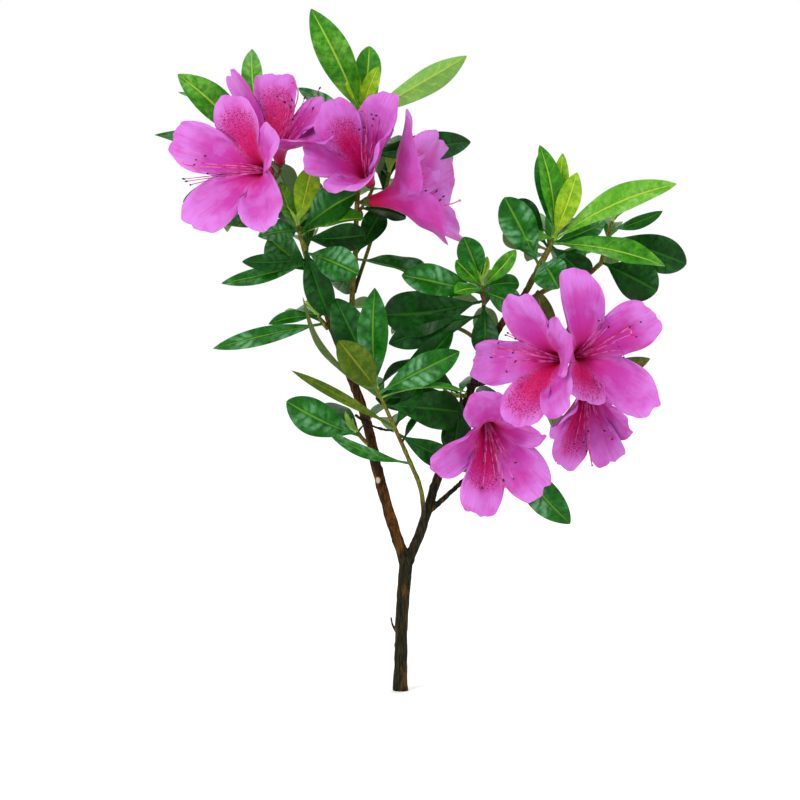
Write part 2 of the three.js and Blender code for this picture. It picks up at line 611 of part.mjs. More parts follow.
function addLeaves({ mass, path, stem }) {
  const leaves = [...shownLeaves(mass, path), ...hiddenLeaves(mass, path)];
  addPiece(mass.name, fused([stem, ...leaves.filter((blade) => blade !== null)]), FOLIAGE);
}

addLimbs();
Object.keys(KNOBS).forEach(addBlooms);
MASSES.map(placeStem).forEach(addLeaves);

export default shrub;
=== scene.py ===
# %% [markdown]
# # A young azalea in bloom
# The shrub is one slender stem that forks into two boughs. Whorls of glossy leaves sit at the tips of the
# shoots, and eight large funnel-shaped blooms open among them. Its solids were drawn and measured first,
# so this lesson loads them and dresses each one: bark relief for the limbs, veined blades for the
# leaves, and thin ruffled funnels for the blooms. The solids give every piece its place and size.

# %% Load the measured model
import math

import bpy
import numpy as np
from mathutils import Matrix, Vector, kdtree, noise


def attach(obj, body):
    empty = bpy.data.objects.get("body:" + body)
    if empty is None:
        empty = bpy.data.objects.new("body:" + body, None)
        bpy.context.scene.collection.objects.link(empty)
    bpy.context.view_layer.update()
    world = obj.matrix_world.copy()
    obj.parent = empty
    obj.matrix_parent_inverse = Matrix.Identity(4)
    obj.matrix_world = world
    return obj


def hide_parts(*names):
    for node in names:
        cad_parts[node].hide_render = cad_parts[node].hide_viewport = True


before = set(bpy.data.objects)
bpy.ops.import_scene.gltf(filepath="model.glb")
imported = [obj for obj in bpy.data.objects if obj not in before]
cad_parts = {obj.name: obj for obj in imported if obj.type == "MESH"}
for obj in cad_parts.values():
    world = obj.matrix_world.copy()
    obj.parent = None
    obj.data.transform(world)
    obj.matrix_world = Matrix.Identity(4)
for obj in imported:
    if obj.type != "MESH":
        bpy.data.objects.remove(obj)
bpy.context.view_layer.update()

# %% [markdown]
# ## The camera
# A long lens from two metres away keeps the slim plant free of distortion. It stands a little above the
# middle of the shrub, so that the upper faces of the leaves just show. The lens could be set by eye.
# Here it follows from how much of the plant one pixel of the square picture should cover, so that a
# length in the picture can be read as a length on the plant.

# %% Camera
CAMERA_DISTANCE = 2.0
CAMERA_RISE = math.radians(5)
AIM = Vector((0, 0, 0.1615))
PICTURE_PIXELS = 800
PIXEL_SIZE = 0.00055

camera = bpy.data.objects.new("camera", bpy.data.cameras.new("camera"))
bpy.context.scene.collection.objects.link(camera)
camera.location = AIM + CAMERA_DISTANCE * Vector((0, -math.cos(CAMERA_RISE), math.sin(CAMERA_RISE)))
camera.rotation_euler = (math.pi / 2 - CAMERA_RISE, 0, 0)
camera.data.lens = camera.data.sensor_width * CAMERA_DISTANCE / (PICTURE_PIXELS * PIXEL_SIZE)
camera.data.clip_end = 20
bpy.context.scene.camera = camera
print("lens", round(camera.data.lens, 1), "mm")

# %% [markdown]
# ## The rule by which the shrub grows
# The numbers below are those of the measured solids, in millimetres. Every limb is a row of points with a
# width at foot and tip. Every mass of leaves has a short stem and, for each leaf, how far down the stem it
# sits, its bearing in the front view, its lean to the viewer, its length and width, and how far its face
# turns up. Keeping the rule lets the fine leaves and petals grow exactly where the solids stand.

# %% Limbs
MM = 0.001
CLEAR = 0.3
LIMB_STEP = 9
STEM_TIP_WIDTH = 2
TRUNK = {
    "points": [[0, 0, 0], [0.4, 0, 12], [0.8, 0, 36], [2.2, 0, 58], [3.9, 0, 75]],
    "flare_height": 16, "flare": 1.7, "waist": 6.9, "fork": 7.4, "swell": (36, 70),
}
LIMBS = {
    "left_bough": ((6.3, 4.2), [
        [-0.5, 0, 84], [-7, 0, 106], [-12, -1, 125], [-16, -1, 144], [-26, -1, 172], [-39, -2, 207],
        [-46, -2, 226]]),
    "middle_bough": ((3.4, 3), [[-25.5, 3.5, 184], [-26.5, 8, 200], [-26, 11, 225], [-25, 12, 233]]),
    "right_bough": ((5.6, 3.2), [
        [8.6, 0, 84], [13, 2, 97], [20, 5, 119], [28, 7, 136], [39, 9, 166], [55, 8, 201], [68, 5, 219],
        [76, 4, 234]]),
    "front_twig": ((2.6, 2.4), [[12.6, -3, 104.5], [12, -5.5, 110], [10.5, -8, 116]]),
    "right_low_twig": ((2.8, 2.4), [[20.6, 2, 103.6], [32, 1, 114], [53, 4, 131]]),
    "middle_right_twig": ((2.4, 2.2), [[41.5, 5, 177], [44, 1, 190], [45, -2, 204]]),
    "far_right_twig": ((3.2, 2.6), [[65.2, 9.8, 212], [84, 25, 222], [101, 34, 226], [111, 36, 234]]),
    "left_top_twig": ((2.4, 2.2), [[-57.5, -4.5, 259], [-63, -1, 265], [-69, 2.5, 272]]),
    "back_left_twig": ((2.6, 2.2), [[-41, 2.5, 214], [-52, 16, 233], [-72, 34, 262], [-84, 42, 275]]),
    "back_middle_twig": ((2.4, 2.2), [[46.5, 13, 190], [37, 26, 197], [24, 37, 202]]),
    "back_right_twig": ((2.6, 2.2), [[43, 13.5, 169], [62, 29, 172], [84, 43, 176]]),
    "back_top_twig": ((2.2, 2), [[-23.5, 14.5, 226], [-18, 25, 242], [-11, 42, 264]]),
}
BROWN_LIMBS = ["left_bough", "right_bough", "right_low_twig"]
print(len(LIMBS), "limbs above the trunk")

# %% [markdown]
# A leaf's 'kind' is one letter, dealt out by spray: y young yellow-green, f fresh, g glossy mid green,
# d dark (a deeper green that is partly painted shade, for leaves that stand in shadow), p pale with a
# yellow midrib, o olive, b brown-olive.

# %% Masses of leaves
MASSES = {
    "left_leaves": {
        "from": "left_bough", "stem": [[-52, -6, 244], [-56, -8, 259]],
        "hidden": 5, "seed": 146, "kinds": "ygggffddgggd",
        "leaves": [
            [1, 76, 5, 33, 14, 0], [4, -175, 50, 32, 13, 20], [5, 176, -20, 46, 13, 50],
            [5, 36, 25, 41, 20, 30], [7, 16, 38, 46, 16, 60], [6, 112, -12, 31, 10, 0],
            [9, 3, -15, 36, 16, 0], [21, -179, 20, 37, 10, 0], [23, -164, 5, 49, 10, 0],
            [17, -20, 30, 35, 19, 10], [30, 142, -25, 35, 19, 0], [14, -70, -28, 40, 16, 0]]},
    "left_top_leaves": {
        "from": "left_top_twig", "stem": [[-71, 4, 278], [-74, 8, 290], [-76, 10, 305]],
        "hidden": 6, "seed": 38, "kinds": "fffggy",
        "leaves": [
            [9, 139, -5, 62, 18, 15], [11, 145, -22, 66, 12, 70], [2, 98, -26, 66, 14, 0],
            [15, 165, -12, 65, 11, 40], [27, -174, -10, 50, 12, -30], [16, 88, 14, 34, 12, 0]]},
    "middle_leaves": {
        "from": "middle_bough", "stem": [[-24, 14, 262], [-22, 22, 293], [-21, 26, 321]],
        "hidden": 7, "seed": 5, "kinds": "dgggdffyypdg",
        "leaves": [
            [82, 60, -22, 30, 14, 0], [84, -15, -10, 50, 18, 60], [84, -116, -20, 26, 14, 0],
            [76, -124, -34, 36, 16, 0], [56, -11, -10, 28, 12, 40], [5, 113, 5, 66, 21, 0],
            [6, 84, -15, 42, 15, 0], [2, 104, 10, 30, 9, 0], [2, 70, 10, 27, 9, 0],
            [5, 30, 10, 66, 15, 200], [26, 5, -20, 66, 16, 0], [20, 138, -20, 50, 11, 20]]},
    "front_leaves": {
        "from": "front_twig", "stem": [[7, -12, 125], [-2, -18, 146], [-13, -26, 171]],
        "hidden": 3, "seed": 1607, "kinds": "godoogfdddddg",
        "leaves": [
            [1, 91, 10, 56, 17, 0], [3, 126, 30, 41, 18, 10], [4, 115, -10, 57, 20, 0],
            [8, 130, 0, 70, 10, -75], [26, 151, 0, 64, 6, 0], [4, 24, 10, 51, 18, 0],
            [7, 4, 22, 48, 8, 75], [12, -7, -25, 46, 22, 0], [10, 45, -18, 57, 14, 10],
            [26, 61, -5, 30, 10, 0], [36, 47, -22, 33, 9, 60], [30, -40, -14, 38, 11, -40],
            [49, 159, 6, 49, 8, -30]]},
    "left_low_leaves": {
        "from": [-18.5, -1, 138], "stem": [[-21, 0, 140.5], [-24, 3, 144]],
        "hidden": 2, "seed": 1751, "kinds": "g",
        "leaves": [
            [4, 154, 8, 47, 23, 0]]},
    "left_middle_leaves": {
        "from": [-41, -2, 202.6], "stem": [[-42.5, -1.5, 204.5], [-45, 0, 208.5]],
        "hidden": 2, "seed": 2224, "kinds": "gg",
        "leaves": [
            [1, -172, 10, 28, 8, 30], [6, -170, 5, 62, 12, 0]]},
    "middle_right_leaves": {
        "from": "middle_right_twig", "stem": [[46, -4, 218], [45, -6, 226]],
        "hidden": 4, "seed": 1948, "kinds": "gfyyfggfgddd",
        "leaves": [
            [0, 112, 10, 28, 15, 0], [2, 135, 14, 20, 8, 0], [0, 95, 5, 16, 5, 0], [0, 80, 5, 15, 5, 0],
            [2, 48, 0, 27, 9, 0], [2, 5, -15, 21, 10, 20], [4, -19, 14, 22, 15, 0],
            [4, 180, 45, 22, 11, 60], [6, 165, 4, 45, 14, 20], [12, -90, 20, 29, 15, 0],
            [10, -171, -15, 58, 26, 0], [18, -162, -12, 56, 17, 0]]},
    "lower_middle_leaves": {
        "from": [35, 7, 163.3], "stem": [[33.5, 6, 163.5], [31.5, 4.5, 163.5]],
        "hidden": 2, "seed": 1002, "kinds": "dd",
        "leaves": [
            [1, -178, -4, 46, 20, 10], [3, -98, -6, 32, 17, 0]]},
    "right_leaves": {
        "from": "right_bough", "stem": [[81, 4, 243], [85, 4, 252]],
        "hidden": 6, "seed": 662, "kinds": "fgyypffbgddggg",
        "leaves": [
            [1, 100, 6, 50, 12, 20], [2, 97, -16, 51, 15, 0], [1, 85, -4, 45, 8, 0],
            [2, 70, 12, 39, 12, 0], [4, 26, 5, 75, 17, 30], [5, -11, 12, 64, 15, 35],
            [2, 169, 22, 27, 8, 0], [9, 157, 18, 28, 13, 200], [20, 116, 16, 44, 20, 0],
            [8, 130, -22, 34, 18, 0], [6, -57, -18, 24, 12, 0], [16, -59, 55, 26, 20, 0],
            [5, 4, -22, 34, 12, 60], [26, 14, -18, 29, 12, -20]]},
    "far_right_leaves": {
        "from": "far_right_twig", "stem": [[116, 40, 248], [119, 42, 259]],
        "hidden": 6, "seed": 1944, "kinds": "ddg",
        "leaves": [
            [10, -19, 5, 46, 24, 0], [25, -26, 10, 35, 20, 0], [6, 16, 0, 31, 8, -20]]},
    "truss_leaves": {
        "from": "right_low_twig", "stem": [[70, 5, 152], [84, -2, 173]],
        "hidden": 5, "seed": 3, "kinds": "bbbggd",
        "leaves": [
            [2, 98, -12, 52, 15, 0], [8, 60, -14, 64, 11, 0], [6, 15, -8, 60, 12, 0],
            [46, -51, -8, 58, 22, 0], [50, -151, -12, 32, 10, 20], [26, 158, -28, 50, 12, 0]]},
    "back_left_leaves": {
        "from": "back_left_twig", "stem": [[-90, 47, 284], [-93, 50, 291]],
        "hidden": 9, "seed": 40, "kinds": "",
        "leaves": []},
    "back_middle_leaves": {
        "from": "back_middle_twig", "stem": [[18, 42, 204], [14, 47, 206]],
        "hidden": 9, "seed": 53, "kinds": "",
        "leaves": []},
    "back_right_leaves": {
        "from": "back_right_twig", "stem": [[93, 48, 179], [98, 52, 183]],
        "hidden": 9, "seed": 3, "kinds": "",
        "leaves": []},
    "back_top_leaves": {
        "from": "back_top_twig", "stem": [[-8, 50, 275], [-6, 56, 286]],
        "hidden": 9, "seed": 56, "kinds": "",
        "leaves": []},
}
print(sum(len(mass["leaves"]) + mass["hidden"] for mass in MASSES.values()), "leaves to place")

# %% [markdown]
# Seen close up, some leaves sit a few degrees off their solid, or are a little longer or slimmer. For
# these the table gives the changes of bearing, length, width and upward turn.

# %% Single leaves set right
NUDGES = {
    "left_middle_leaves": {1: (2.5, 0, -2, 0)},
    "left_leaves": {8: (-3, 0, -1, 0)},
    "left_top_leaves": {0: (-2.5, 3, 0, 0), 1: (-4, 0, 0, -25), 2: (0, 4, -2, 0), 4: (5, 0, 4, 30)},
    "middle_leaves": {1: (-8, 2, 2, 0), 3: (-12, 0, 0, 0), 5: (2, 0, -2, 0), 9: (0.5, 2, 0, 0),
                      10: (1.5, 1, 0, 0)},
    "middle_right_leaves": {1: (0, 1, 2, 0), 8: (2, 1, 4, 0)},
    "right_leaves": {0: (-1, 1, 1, 0), 2: (-1, 1, 2, 0), 3: (1, 0, 1, 0), 4: (-0.5, 0, -1, 0),
                     8: (1, 0, 0, 0), 10: (15, 5, 5, 0), 12: (17, 2, -1, -60)},
    "far_right_leaves": {0: (0, 0, -3, 0), 1: (-1, 0, 3, 0), 2: (4, 0, 0, 0)},
    "front_leaves": {5: (4, -1, -1, 0), 6: (2, 2, 0, 0), 11: (12, 0, 3, 40)},
    "lower_middle_leaves": {0: (0, 0, -4, 0)},
    "left_low_leaves": {0: (0, -2, -3, 0)},
    "truss_leaves": {3: (0, 1, -4, 0)},
}
print(sum(len(rows) for rows in NUDGES.values()), "leaves set right")

# %% [markdown]
# Each bloom has the foot of its funnel, the way it faces, the clock angle of its first petal, and for
# each of its five petals how far it opens, its share of the full reach and its width. 'turns' shifts
# single petals round the clock, where a bloom isn't quite even. 'ruffle' calms the waves of the one bloom
# that is seen from its side. 'sweep' is the clock angle and the amount by which the stamens lean.
# 'blotch' is the petal that carries the speckled patch.

# %% Blooms
KNOBS = {
    "left_knob": [-71, 4, 278], "middle_knob": [-24, 14, 262],
    "truss_knob": [84, -2, 173], "low_knob": [70, 5, 152],
}
BLOOMS = {
    "left_front_bloom": {
        "knob": "left_knob", "foot": [-69.8, -6, 286.5], "faces": (163, 48), "roll": 4,
        "petals": [[54, 0.91, 36], [51, 1.03, 28], [58, 1.00, 29], [71, 0.98, 30], [53, 0.94, 26]],
        "turns": [0, -3, 2, 4, 0],
        "sweep": (100, 28), "blotch": 0},
    "left_back_bloom": {
        "knob": "left_knob", "foot": [-66.1, 13, 290.2], "faces": (93, 35), "roll": 6,
        "petals": [[62, 0.96, 25], [25, 1.10, 23], [36, 0.75, 22], [60, 0.88, 28], [46, 0.80, 26]],
        "turns": [0, -5, 0, 12, -10],
        "sweep": (-60, 16), "blotch": 0},
    "middle_left_bloom": {
        "knob": "middle_knob", "foot": [-16, -1, 279.6], "faces": (111, 49), "roll": 40,
        "petals": [[24, 0.98, 36], [45, 0.85, 28], [47, 1.04, 28], [26, 1.05, 20], [37, 1.02, 28]],
        "turns": [0, 0, 0, 0, -6],
        "sweep": (-20, 18), "blotch": 0},
    "middle_right_bloom": {
        "knob": "middle_knob", "foot": [-18.9, -6, 270.6], "faces": (8, -6), "roll": 52,
        "petals": [[78, 1.15, 46], [48, 0.92, 48], [33, 1.08, 45], [42, 1.22, 44], [42, 1.05, 42]],
        "turns": [-10, 4, 18, 19, -28], "ruffle": 0.3,
        "sweep": (180, 8), "blotch": 4},
    "truss_low_bloom": {
        "knob": "low_knob", "foot": [47, 9.5, 151.3], "faces": (-70, 56), "roll": 162,
        "petals": [[36, 1.04, 26], [36, 1.00, 27], [40, 0.88, 25], [66, 0.98, 26], [53, 0.96, 20]],
        "turns": [-2, 0, 13, 0, 7],
        "sweep": (190, 13), "blotch": 0},
    "truss_left_bloom": {
        "knob": "truss_knob", "foot": [89, -29, 187], "faces": (182, 54), "roll": 163,
        "petals": [[59, 0.87, 32], [51, 0.90, 31], [46, 0.93, 35], [62, 0.89, 31], [80, 0.96, 25]],
        "turns": [0, -7, -12, -2, 3],
        "sweep": (60, 18), "blotch": 0},
    "truss_right_bloom": {
        "knob": "truss_knob", "foot": [93.9, -17, 186.9], "faces": (21, 64), "roll": 7,
        "petals": [[80, 0.97, 25], [40, 0.7, 18], [49, 0.84, 30], [58, 1.03, 29], [44, 0.98, 28]],
        "turns": [4, 0, 2, -5, 6],
        "sweep": (-50, 18), "blotch": 2},
    "truss_under_bloom": {
        "knob": "truss_knob", "foot": [102.5, 13, 172.1], "faces": (-85, 39), "roll": 145,
        "petals": [[30, 0.92, 26], [24, 0.88, 32], [33, 0.78, 26], [60, 0.8, 22], [36, 0.80, 24]],
        "turns": [-8, 3, 0, 0, 0],
        "sweep": (180, 12), "blotch": 0},
}
print(len(BLOOMS), "blooms on", len(KNOBS), "knobs")

# %% [markdown]
# ## Small tools
# Directions, a dealer of random numbers, smooth steps and blends. Python's own random numbers would do,
# but the solids were grown with this dealer, and only the same one finds their leaves again.

# %% Directions and chance
GOLDEN_ANGLE = 137.5
DEAL_TIMES, DEAL_PLUS, DEAL_RANGE = 1664525, 1013904223, 2**32


def unit(v):
    return v / np.linalg.norm(v)


def direction(bearing, lean):
    """A direction from its bearing in the front view and its lean to the viewer."""
    turn, tilt = math.radians(bearing), math.radians(lean)
    return np.array([math.cos(turn) * math.cos(tilt), -math.sin(tilt), math.sin(turn) * math.cos(tilt)])


def dealer(seed):
    """The same even numbers from 0 to 1 for a given seed."""
    state = seed

    def deal():
        nonlocal state
        state = (state * DEAL_TIMES + DEAL_PLUS) % DEAL_RANGE
        return state / DEAL_RANGE

    return deal


def mix(a, b, share):
    return a + (b - a) * share


def smooth(x, start, end):
    """A soft step from 0 at 'start' to 1 at 'end'."""
    share = np.clip((x - start) / (end - start), 0, 1)
    return share * share * (3 - 2 * share)


deal = dealer(1)
print("first numbers dealt for seed 1:", round(deal(), 3), round(deal(), 3))

# %% [markdown]
# A smooth curve through a row of points, cut into even steps, is the centre line of every limb. A Blender
# curve would need handles. The centripetal kind runs through its points without any, and never loops or
# bulges between points that lie close together.

# %% Curves
CURVE_SAMPLES = 201


def on_curve(points, shares):
    """Places on the curve, at shares from 0 to 1 of its row of segments."""
    points = np.array(points, float)
    row = np.vstack([2 * points[0] - points[1], points, 2 * points[-1] - points[-2]])
    place = np.asarray(shares, float) * (len(points) - 1)
    segment = np.minimum(place.astype(int), len(points) - 2)
    w = (place - segment)[:, None]
    p0, p1, p2, p3 = (row[segment + k] for k in range(4))
    pairs = ((p0, p1), (p1, p2), (p2, p3))
    d0, d1, d2 = (np.sqrt(np.linalg.norm(b - a, axis=1))[:, None] for a, b in pairs)
    out = ((p1 - p0) / d0 - (p2 - p0) / (d0 + d1) + (p2 - p1) / d1) * d1
    into = ((p2 - p1) / d1 - (p3 - p1) / (d1 + d2) + (p3 - p2) / d2) * d1
    return p1 + out * w + (3 * (p2 - p1) - 2 * out - into) * w**2 + (2 * (p1 - p2) + out + into) * w**3


def run_along(path):
    """The distance walked along a path at each of its points."""
    return np.concatenate([[0], np.cumsum(np.linalg.norm(np.diff(path, axis=0), axis=1))])


def even_path(points, step):
    """The curve through the points, cut into even steps of about 'step'."""
    shares = np.linspace(0, 1, CURVE_SAMPLES)
    run = run_along(on_curve(points, shares))
    steps = max(2, round(run[-1] / step))
    return on_curve(points, np.interp(np.linspace(0, run[-1], steps + 1), run, shares))


LIMB_PATHS = {name: even_path(points, LIMB_STEP) for name, (_, points) in LIMBS.items()}
print("left bough in", len(LIMB_PATHS["left_bough"]) - 1, "steps")

# %% [markdown]
# Meshes are made straight from arrays of points, as leaves and petals are easier to write as formulas
# than to model by hand. A shape is a pair of its points and its faces. Two helpers cover a grid or a row
# of rings with four-sided faces, one joins shapes, and one lays a round tube along a path.

# %% Shapes
FIRST_ACROSS = np.array([0.0, -1.0, 0.05])


def grid_faces(rows, columns):
    corner = np.arange((rows - 1) * columns).reshape(rows - 1, columns)[:, :-1].ravel()
    return np.stack([corner, corner + 1, corner + columns + 1, corner + columns], axis=1)


def ring_faces(rings, sides):
    here = np.arange((rings - 1) * sides)
    after = here - here % sides + (here + 1) % sides
    return np.stack([here, after, after + sides, here + sides], axis=1)


def joined(shapes):
    points, faces, count = [], [], 0
    for shape_points, shape_faces in shapes:
        points.append(shape_points)
        faces += [[count + corner for corner in face] for face in shape_faces]
        count += len(shape_points)
    return np.vstack(points), faces


def tube(path, radii, sides):
    """A closed round tube along a path, with a radius at each of its points."""
    along = np.gradient(path, axis=0)
    along /= np.linalg.norm(along, axis=1)[:, None]
    across = FIRST_ACROSS
    turn = np.linspace(0, 2 * math.pi, sides, endpoint=False)[:, None]
    rings = []
    for centre, way, radius in zip(path, along, radii):
        across = unit(across - way * (across @ way))
        up = np.cross(way, across)
        rings.append(centre + radius * (np.cos(turn) * across + np.sin(turn) * up))
    faces = ring_faces(len(path), sides).tolist()
    last = (len(path) - 1) * sides
    faces += [list(range(sides))[::-1], list(range(last, last + sides))]
    return np.vstack(rings), faces


print("a grid of 3 by 3 points has", len(grid_faces(3, 3)), "faces")

# %% [markdown]
# One more helper turns a shape into an object. The object rides on the plant's only body, stands for the
# solids that it names, and keeps its maps and marks for the finishes to read.

# %% Pieces
def mesh_piece(name, shape, materials, nodes, slots=None, maps=None, marks=None):
    """One object in metres. 'slots' is a material per face; maps and marks are given per point."""
    points, faces = shape
    mesh = bpy.data.meshes.new(name)
    mesh.from_pydata((points * MM).tolist(), [], faces)
    mesh.polygons.foreach_set("use_smooth", np.ones(len(mesh.polygons), bool))
    if slots is not None:
        mesh.polygons.foreach_set("material_index", np.asarray(slots, np.int32))
    corners = np.empty(len(mesh.loops), np.int32)
    mesh.loops.foreach_get("vertex_index", corners)
    for map_name, places in (maps or {}).items():
        mesh.uv_layers.new(name=map_name).data.foreach_set("uv", places[corners].ravel())
    for mark, values in (marks or {}).items():
        layer = mesh.attributes.new(mark, "FLOAT", "POINT")
        layer.data.foreach_set("value", np.asarray(values, np.float32))
    for material in materials:
        mesh.materials.append(material)
    mesh.update()
    piece = bpy.data.objects.new(name, mesh)
    bpy.context.scene.collection.objects.link(piece)
    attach(piece, "root")
    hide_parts(*nodes)
    print(name, "with", len(mesh.polygons), "faces")
    return piece


# %% [markdown]
# ## Finishes
# Every finish is a small tree of nodes on Blender's own shader. Such a tree is mostly drawn by mouse. The
# helper below adds nodes by name and joins them in one call, so each finish reads as a recipe instead.
# Colours are written as a painter would read them off a screen, from 0 to 255, and turned into the
# linear light that the shader works in.

# %% Finish helpers
def paint(red, green, blue):
    """A screen colour as linear light."""
    def linear(c):
        c /= 255
        return c / 12.92 if c <= 0.04045 else ((c + 0.055) / 1.055) ** 2.4
    return (linear(red), linear(green), linear(blue), 1)


class Finish:
    """A material whose nodes are added one call at a time."""

    def __init__(self, name, roughness, **sockets):
        self.material = bpy.data.materials.new(name)
        self.material.use_nodes = True
        self.tree = self.material.node_tree
        self.shader = self.tree.nodes["Principled BSDF"]
        self.shader.inputs["Roughness"].default_value = roughness
        for socket, value in sockets.items():
            self.shader.inputs[socket.replace("_", " ")].default_value = value

    def join(self, value, socket):
        """Link an output to the socket, or set the socket to a plain value."""
        if isinstance(value, bpy.types.NodeSocket):
            self.tree.links.new(value, socket)
        else:
            socket.default_value = value

    def node(self, kind, inputs=None, output=0, **settings):
        """Add a node and give back one of its outputs."""
        made = self.tree.nodes.new("ShaderNode" + kind)
        for setting, value in settings.items():
            setattr(made, setting, value)
        for socket, value in (inputs or {}).items():
            self.join(value, made.inputs[socket])
        return made.outputs[output]

    def sums(self, operation, *values):
        return self.node("Math", dict(enumerate(values)), operation=operation)

    def step(self, value, low, high, start=0.0, end=1.0):
        """A soft step from 'start' to 'end' while the value goes from 'low' to 'high'."""
        return self.node("MapRange", {0: value, 1: low, 2: high, 3: start, 4: end},
                         interpolation_type="SMOOTHSTEP")

    def blend(self, share, first, second):
        return self.node("Mix", {0: share, 6: first, 7: second}, output=2, data_type="RGBA")

    def stretched(self, source, scale):
        return self.node("Mapping", {"Vector": source, "Scale": scale})

    def noise(self, vector, scale, detail=3.0, roughness=0.55):
        return self.node("TexNoise", {"Vector": vector, "Scale": scale, "Detail": detail,
                                      "Roughness": roughness})

    def mark(self, name):
        """A number kept on the points of the mesh."""
        return self.node("Attribute", output=2, attribute_name=name)

    def bump(self, height, strength, distance):
        self.join(self.node("Bump", {"Height": height, "Strength": strength, "Distance": distance}),
                  self.shader.inputs["Normal"])

    def colour(self, value):
        self.join(value, self.shader.inputs["Base Color"])
        return self.material


print("mid grey as linear light:", round(paint(128, 128, 128)[0], 3))

# %% [markdown]
# ## Bark
# Old wood of an azalea is thin-barked and dark, with shallow fissures that run along the limb, rust-red
# patches where flakes have come off, and the dots of old leaf scars. The left bough is warmer and
# browner than the trunk, and the boughs turn green towards their tips. A photograph of bark could be
# wrapped round the limbs, but would stretch and repeat. Noise that is drawn out along the limb does neither.

# %% Bark finish
def bark_finish():
    bark = Finish("bark", 0.8, Specular_IOR_Level=0.12)
    place = bark.node("TexCoord", output="Object")
    fibres = bark.noise(bark.stretched(place, (1400, 1400, 160)), 1.0, 5.0, 0.65)
    patches = bark.noise(bark.stretched(place, (230, 230, 60)), 1.0, 4.0, 0.6)
    cold = bark.blend(bark.step(fibres, 0.36, 0.70), paint(8, 8, 4), paint(54, 50, 28))
    rust = bark.blend(bark.step(patches, 0.52, 0.68, 0.0, 0.8), cold, paint(104, 66, 18))
    warm = bark.blend(bark.step(fibres, 0.34, 0.72), paint(24, 13, 5), paint(112, 68, 20))
    warm = bark.blend(bark.step(patches, 0.40, 0.56, 0.8, 0.0), warm, paint(24, 18, 8))
    warm = bark.blend(bark.step(patches, 0.60, 0.72, 0.0, 0.6), warm, paint(146, 92, 26))
    wood = bark.blend(bark.mark("warmth"), rust, warm)
    green = bark.blend(bark.step(fibres, 0.3, 0.75), paint(62, 56, 14), paint(112, 110, 34))
    bark.bump(fibres, 0.55, 0.0006)
    wood = bark.blend(bark.mark("youth"), wood, green)
    return bark.colour(bark.blend(bark.mark("scar"), wood, paint(196, 178, 140)))


bark_material = bark_finish()
print("finish:", bark_material.name, "with", len(bark_material.node_tree.nodes), "nodes")

# %% [markdown]
# The fork is where a stack of tubes would look like plumbing. So the trunk and the brown boughs are laid
# into each other as tubes and turned into one skin by a voxel remesh, which rounds every crotch. Each
# bough is led down into the trunk by the fork's roots. Seen close up, both boughs sway about a
# millimetre off their solids, and two dead twigs stand on the old wood.

# %% Wood as one skin
FORK_ROOTS = [np.array([2.2, 0, 58.0]), np.array([3.1, 0, 66.0])]
FORK_SINK = 4
TWIG_SINK = 8
SWAY = {"left_bough": (-1.0, (72, 165)), "right_bough": (1.2, (72, 150))}
SWAY_START, SWAY_END = 18, 25
DEAD_WOOD = {
    "snag": (0.75, [[-24.7, -5, 153.8], [-20, -4.6, 150.4], [-15.4, -4.2, 147.7], [-9, -4.6, 145.6],
                    [-3.9, -5, 145]]),
    "spur": (0.55, [[-1.2, 0, 31], [-3.9, -0.3, 36], [-5.0, -0.5, 41]]),
}
DEAD_TAPER = (1.25, 0.8)
FINE_STEP = 1.5


def trunk_radii(path):
    z = path[:, 2]
    waist = mix(TRUNK["waist"], TRUNK["fork"], smooth(z, *TRUNK["swell"]))
    return (waist + TRUNK["flare"] * (1 - smooth(z, 0, TRUNK["flare_height"]))) / 2


def fine_limb(name, lead):
    """A limb's centre line in fine steps, led into its parent by the points of 'lead'."""
    path = even_path([*lead, *LIMB_PATHS[name]], FINE_STEP)
    if name in SWAY:
        amount, (low, high) = SWAY[name]
        z = path[:, 2]
        path[:, 0] += amount * smooth(z, low, low + SWAY_START) * (1 - smooth(z, high - SWAY_END, high))
    run = run_along(path)
    start = run[-1] - run_along(LIMB_PATHS[name])[-1]
    foot, tip = LIMBS[name][0]
    return path, mix(foot, tip, np.clip((run - start) / (run[-1] - start), 0, 1)) / 2


def back_from(name, distance):
    """A point inside the parent, at a distance behind a limb's foot."""
    path = LIMB_PATHS[name]
    return path[0] + unit(path[0] - path[1]) * distance


trunk_path = even_path(TRUNK["points"], FINE_STEP)
wood_limbs = {"trunk": (trunk_path, trunk_radii(trunk_path))}
for bough in ("left_bough", "right_bough"):
    wood_limbs[bough] = fine_limb(bough, [*FORK_ROOTS, back_from(bough, FORK_SINK)])
wood_limbs["right_low_twig"] = fine_limb("right_low_twig", [back_from("right_low_twig", TWIG_SINK)])
for twig, (thick, points) in DEAD_WOOD.items():
    path = even_path(points, FINE_STEP)
    wood_limbs[twig] = (path, np.linspace(*DEAD_TAPER, len(path)) * thick)
print("longest limb", round(run_along(wood_limbs["right_bough"][0])[-1]), "mm")

# %% [markdown]
# The remesh runs as a modifier and its result is kept as a plain mesh, so nothing is left to compute
# when the scene is opened. A Boolean union would join the tubes too, but leaves sharp creases where they
# meet. The grain is fine enough to carry the relief.

# %% Remesh
WOOD_SIDES = 32
WOOD_GRAIN = 0.00042


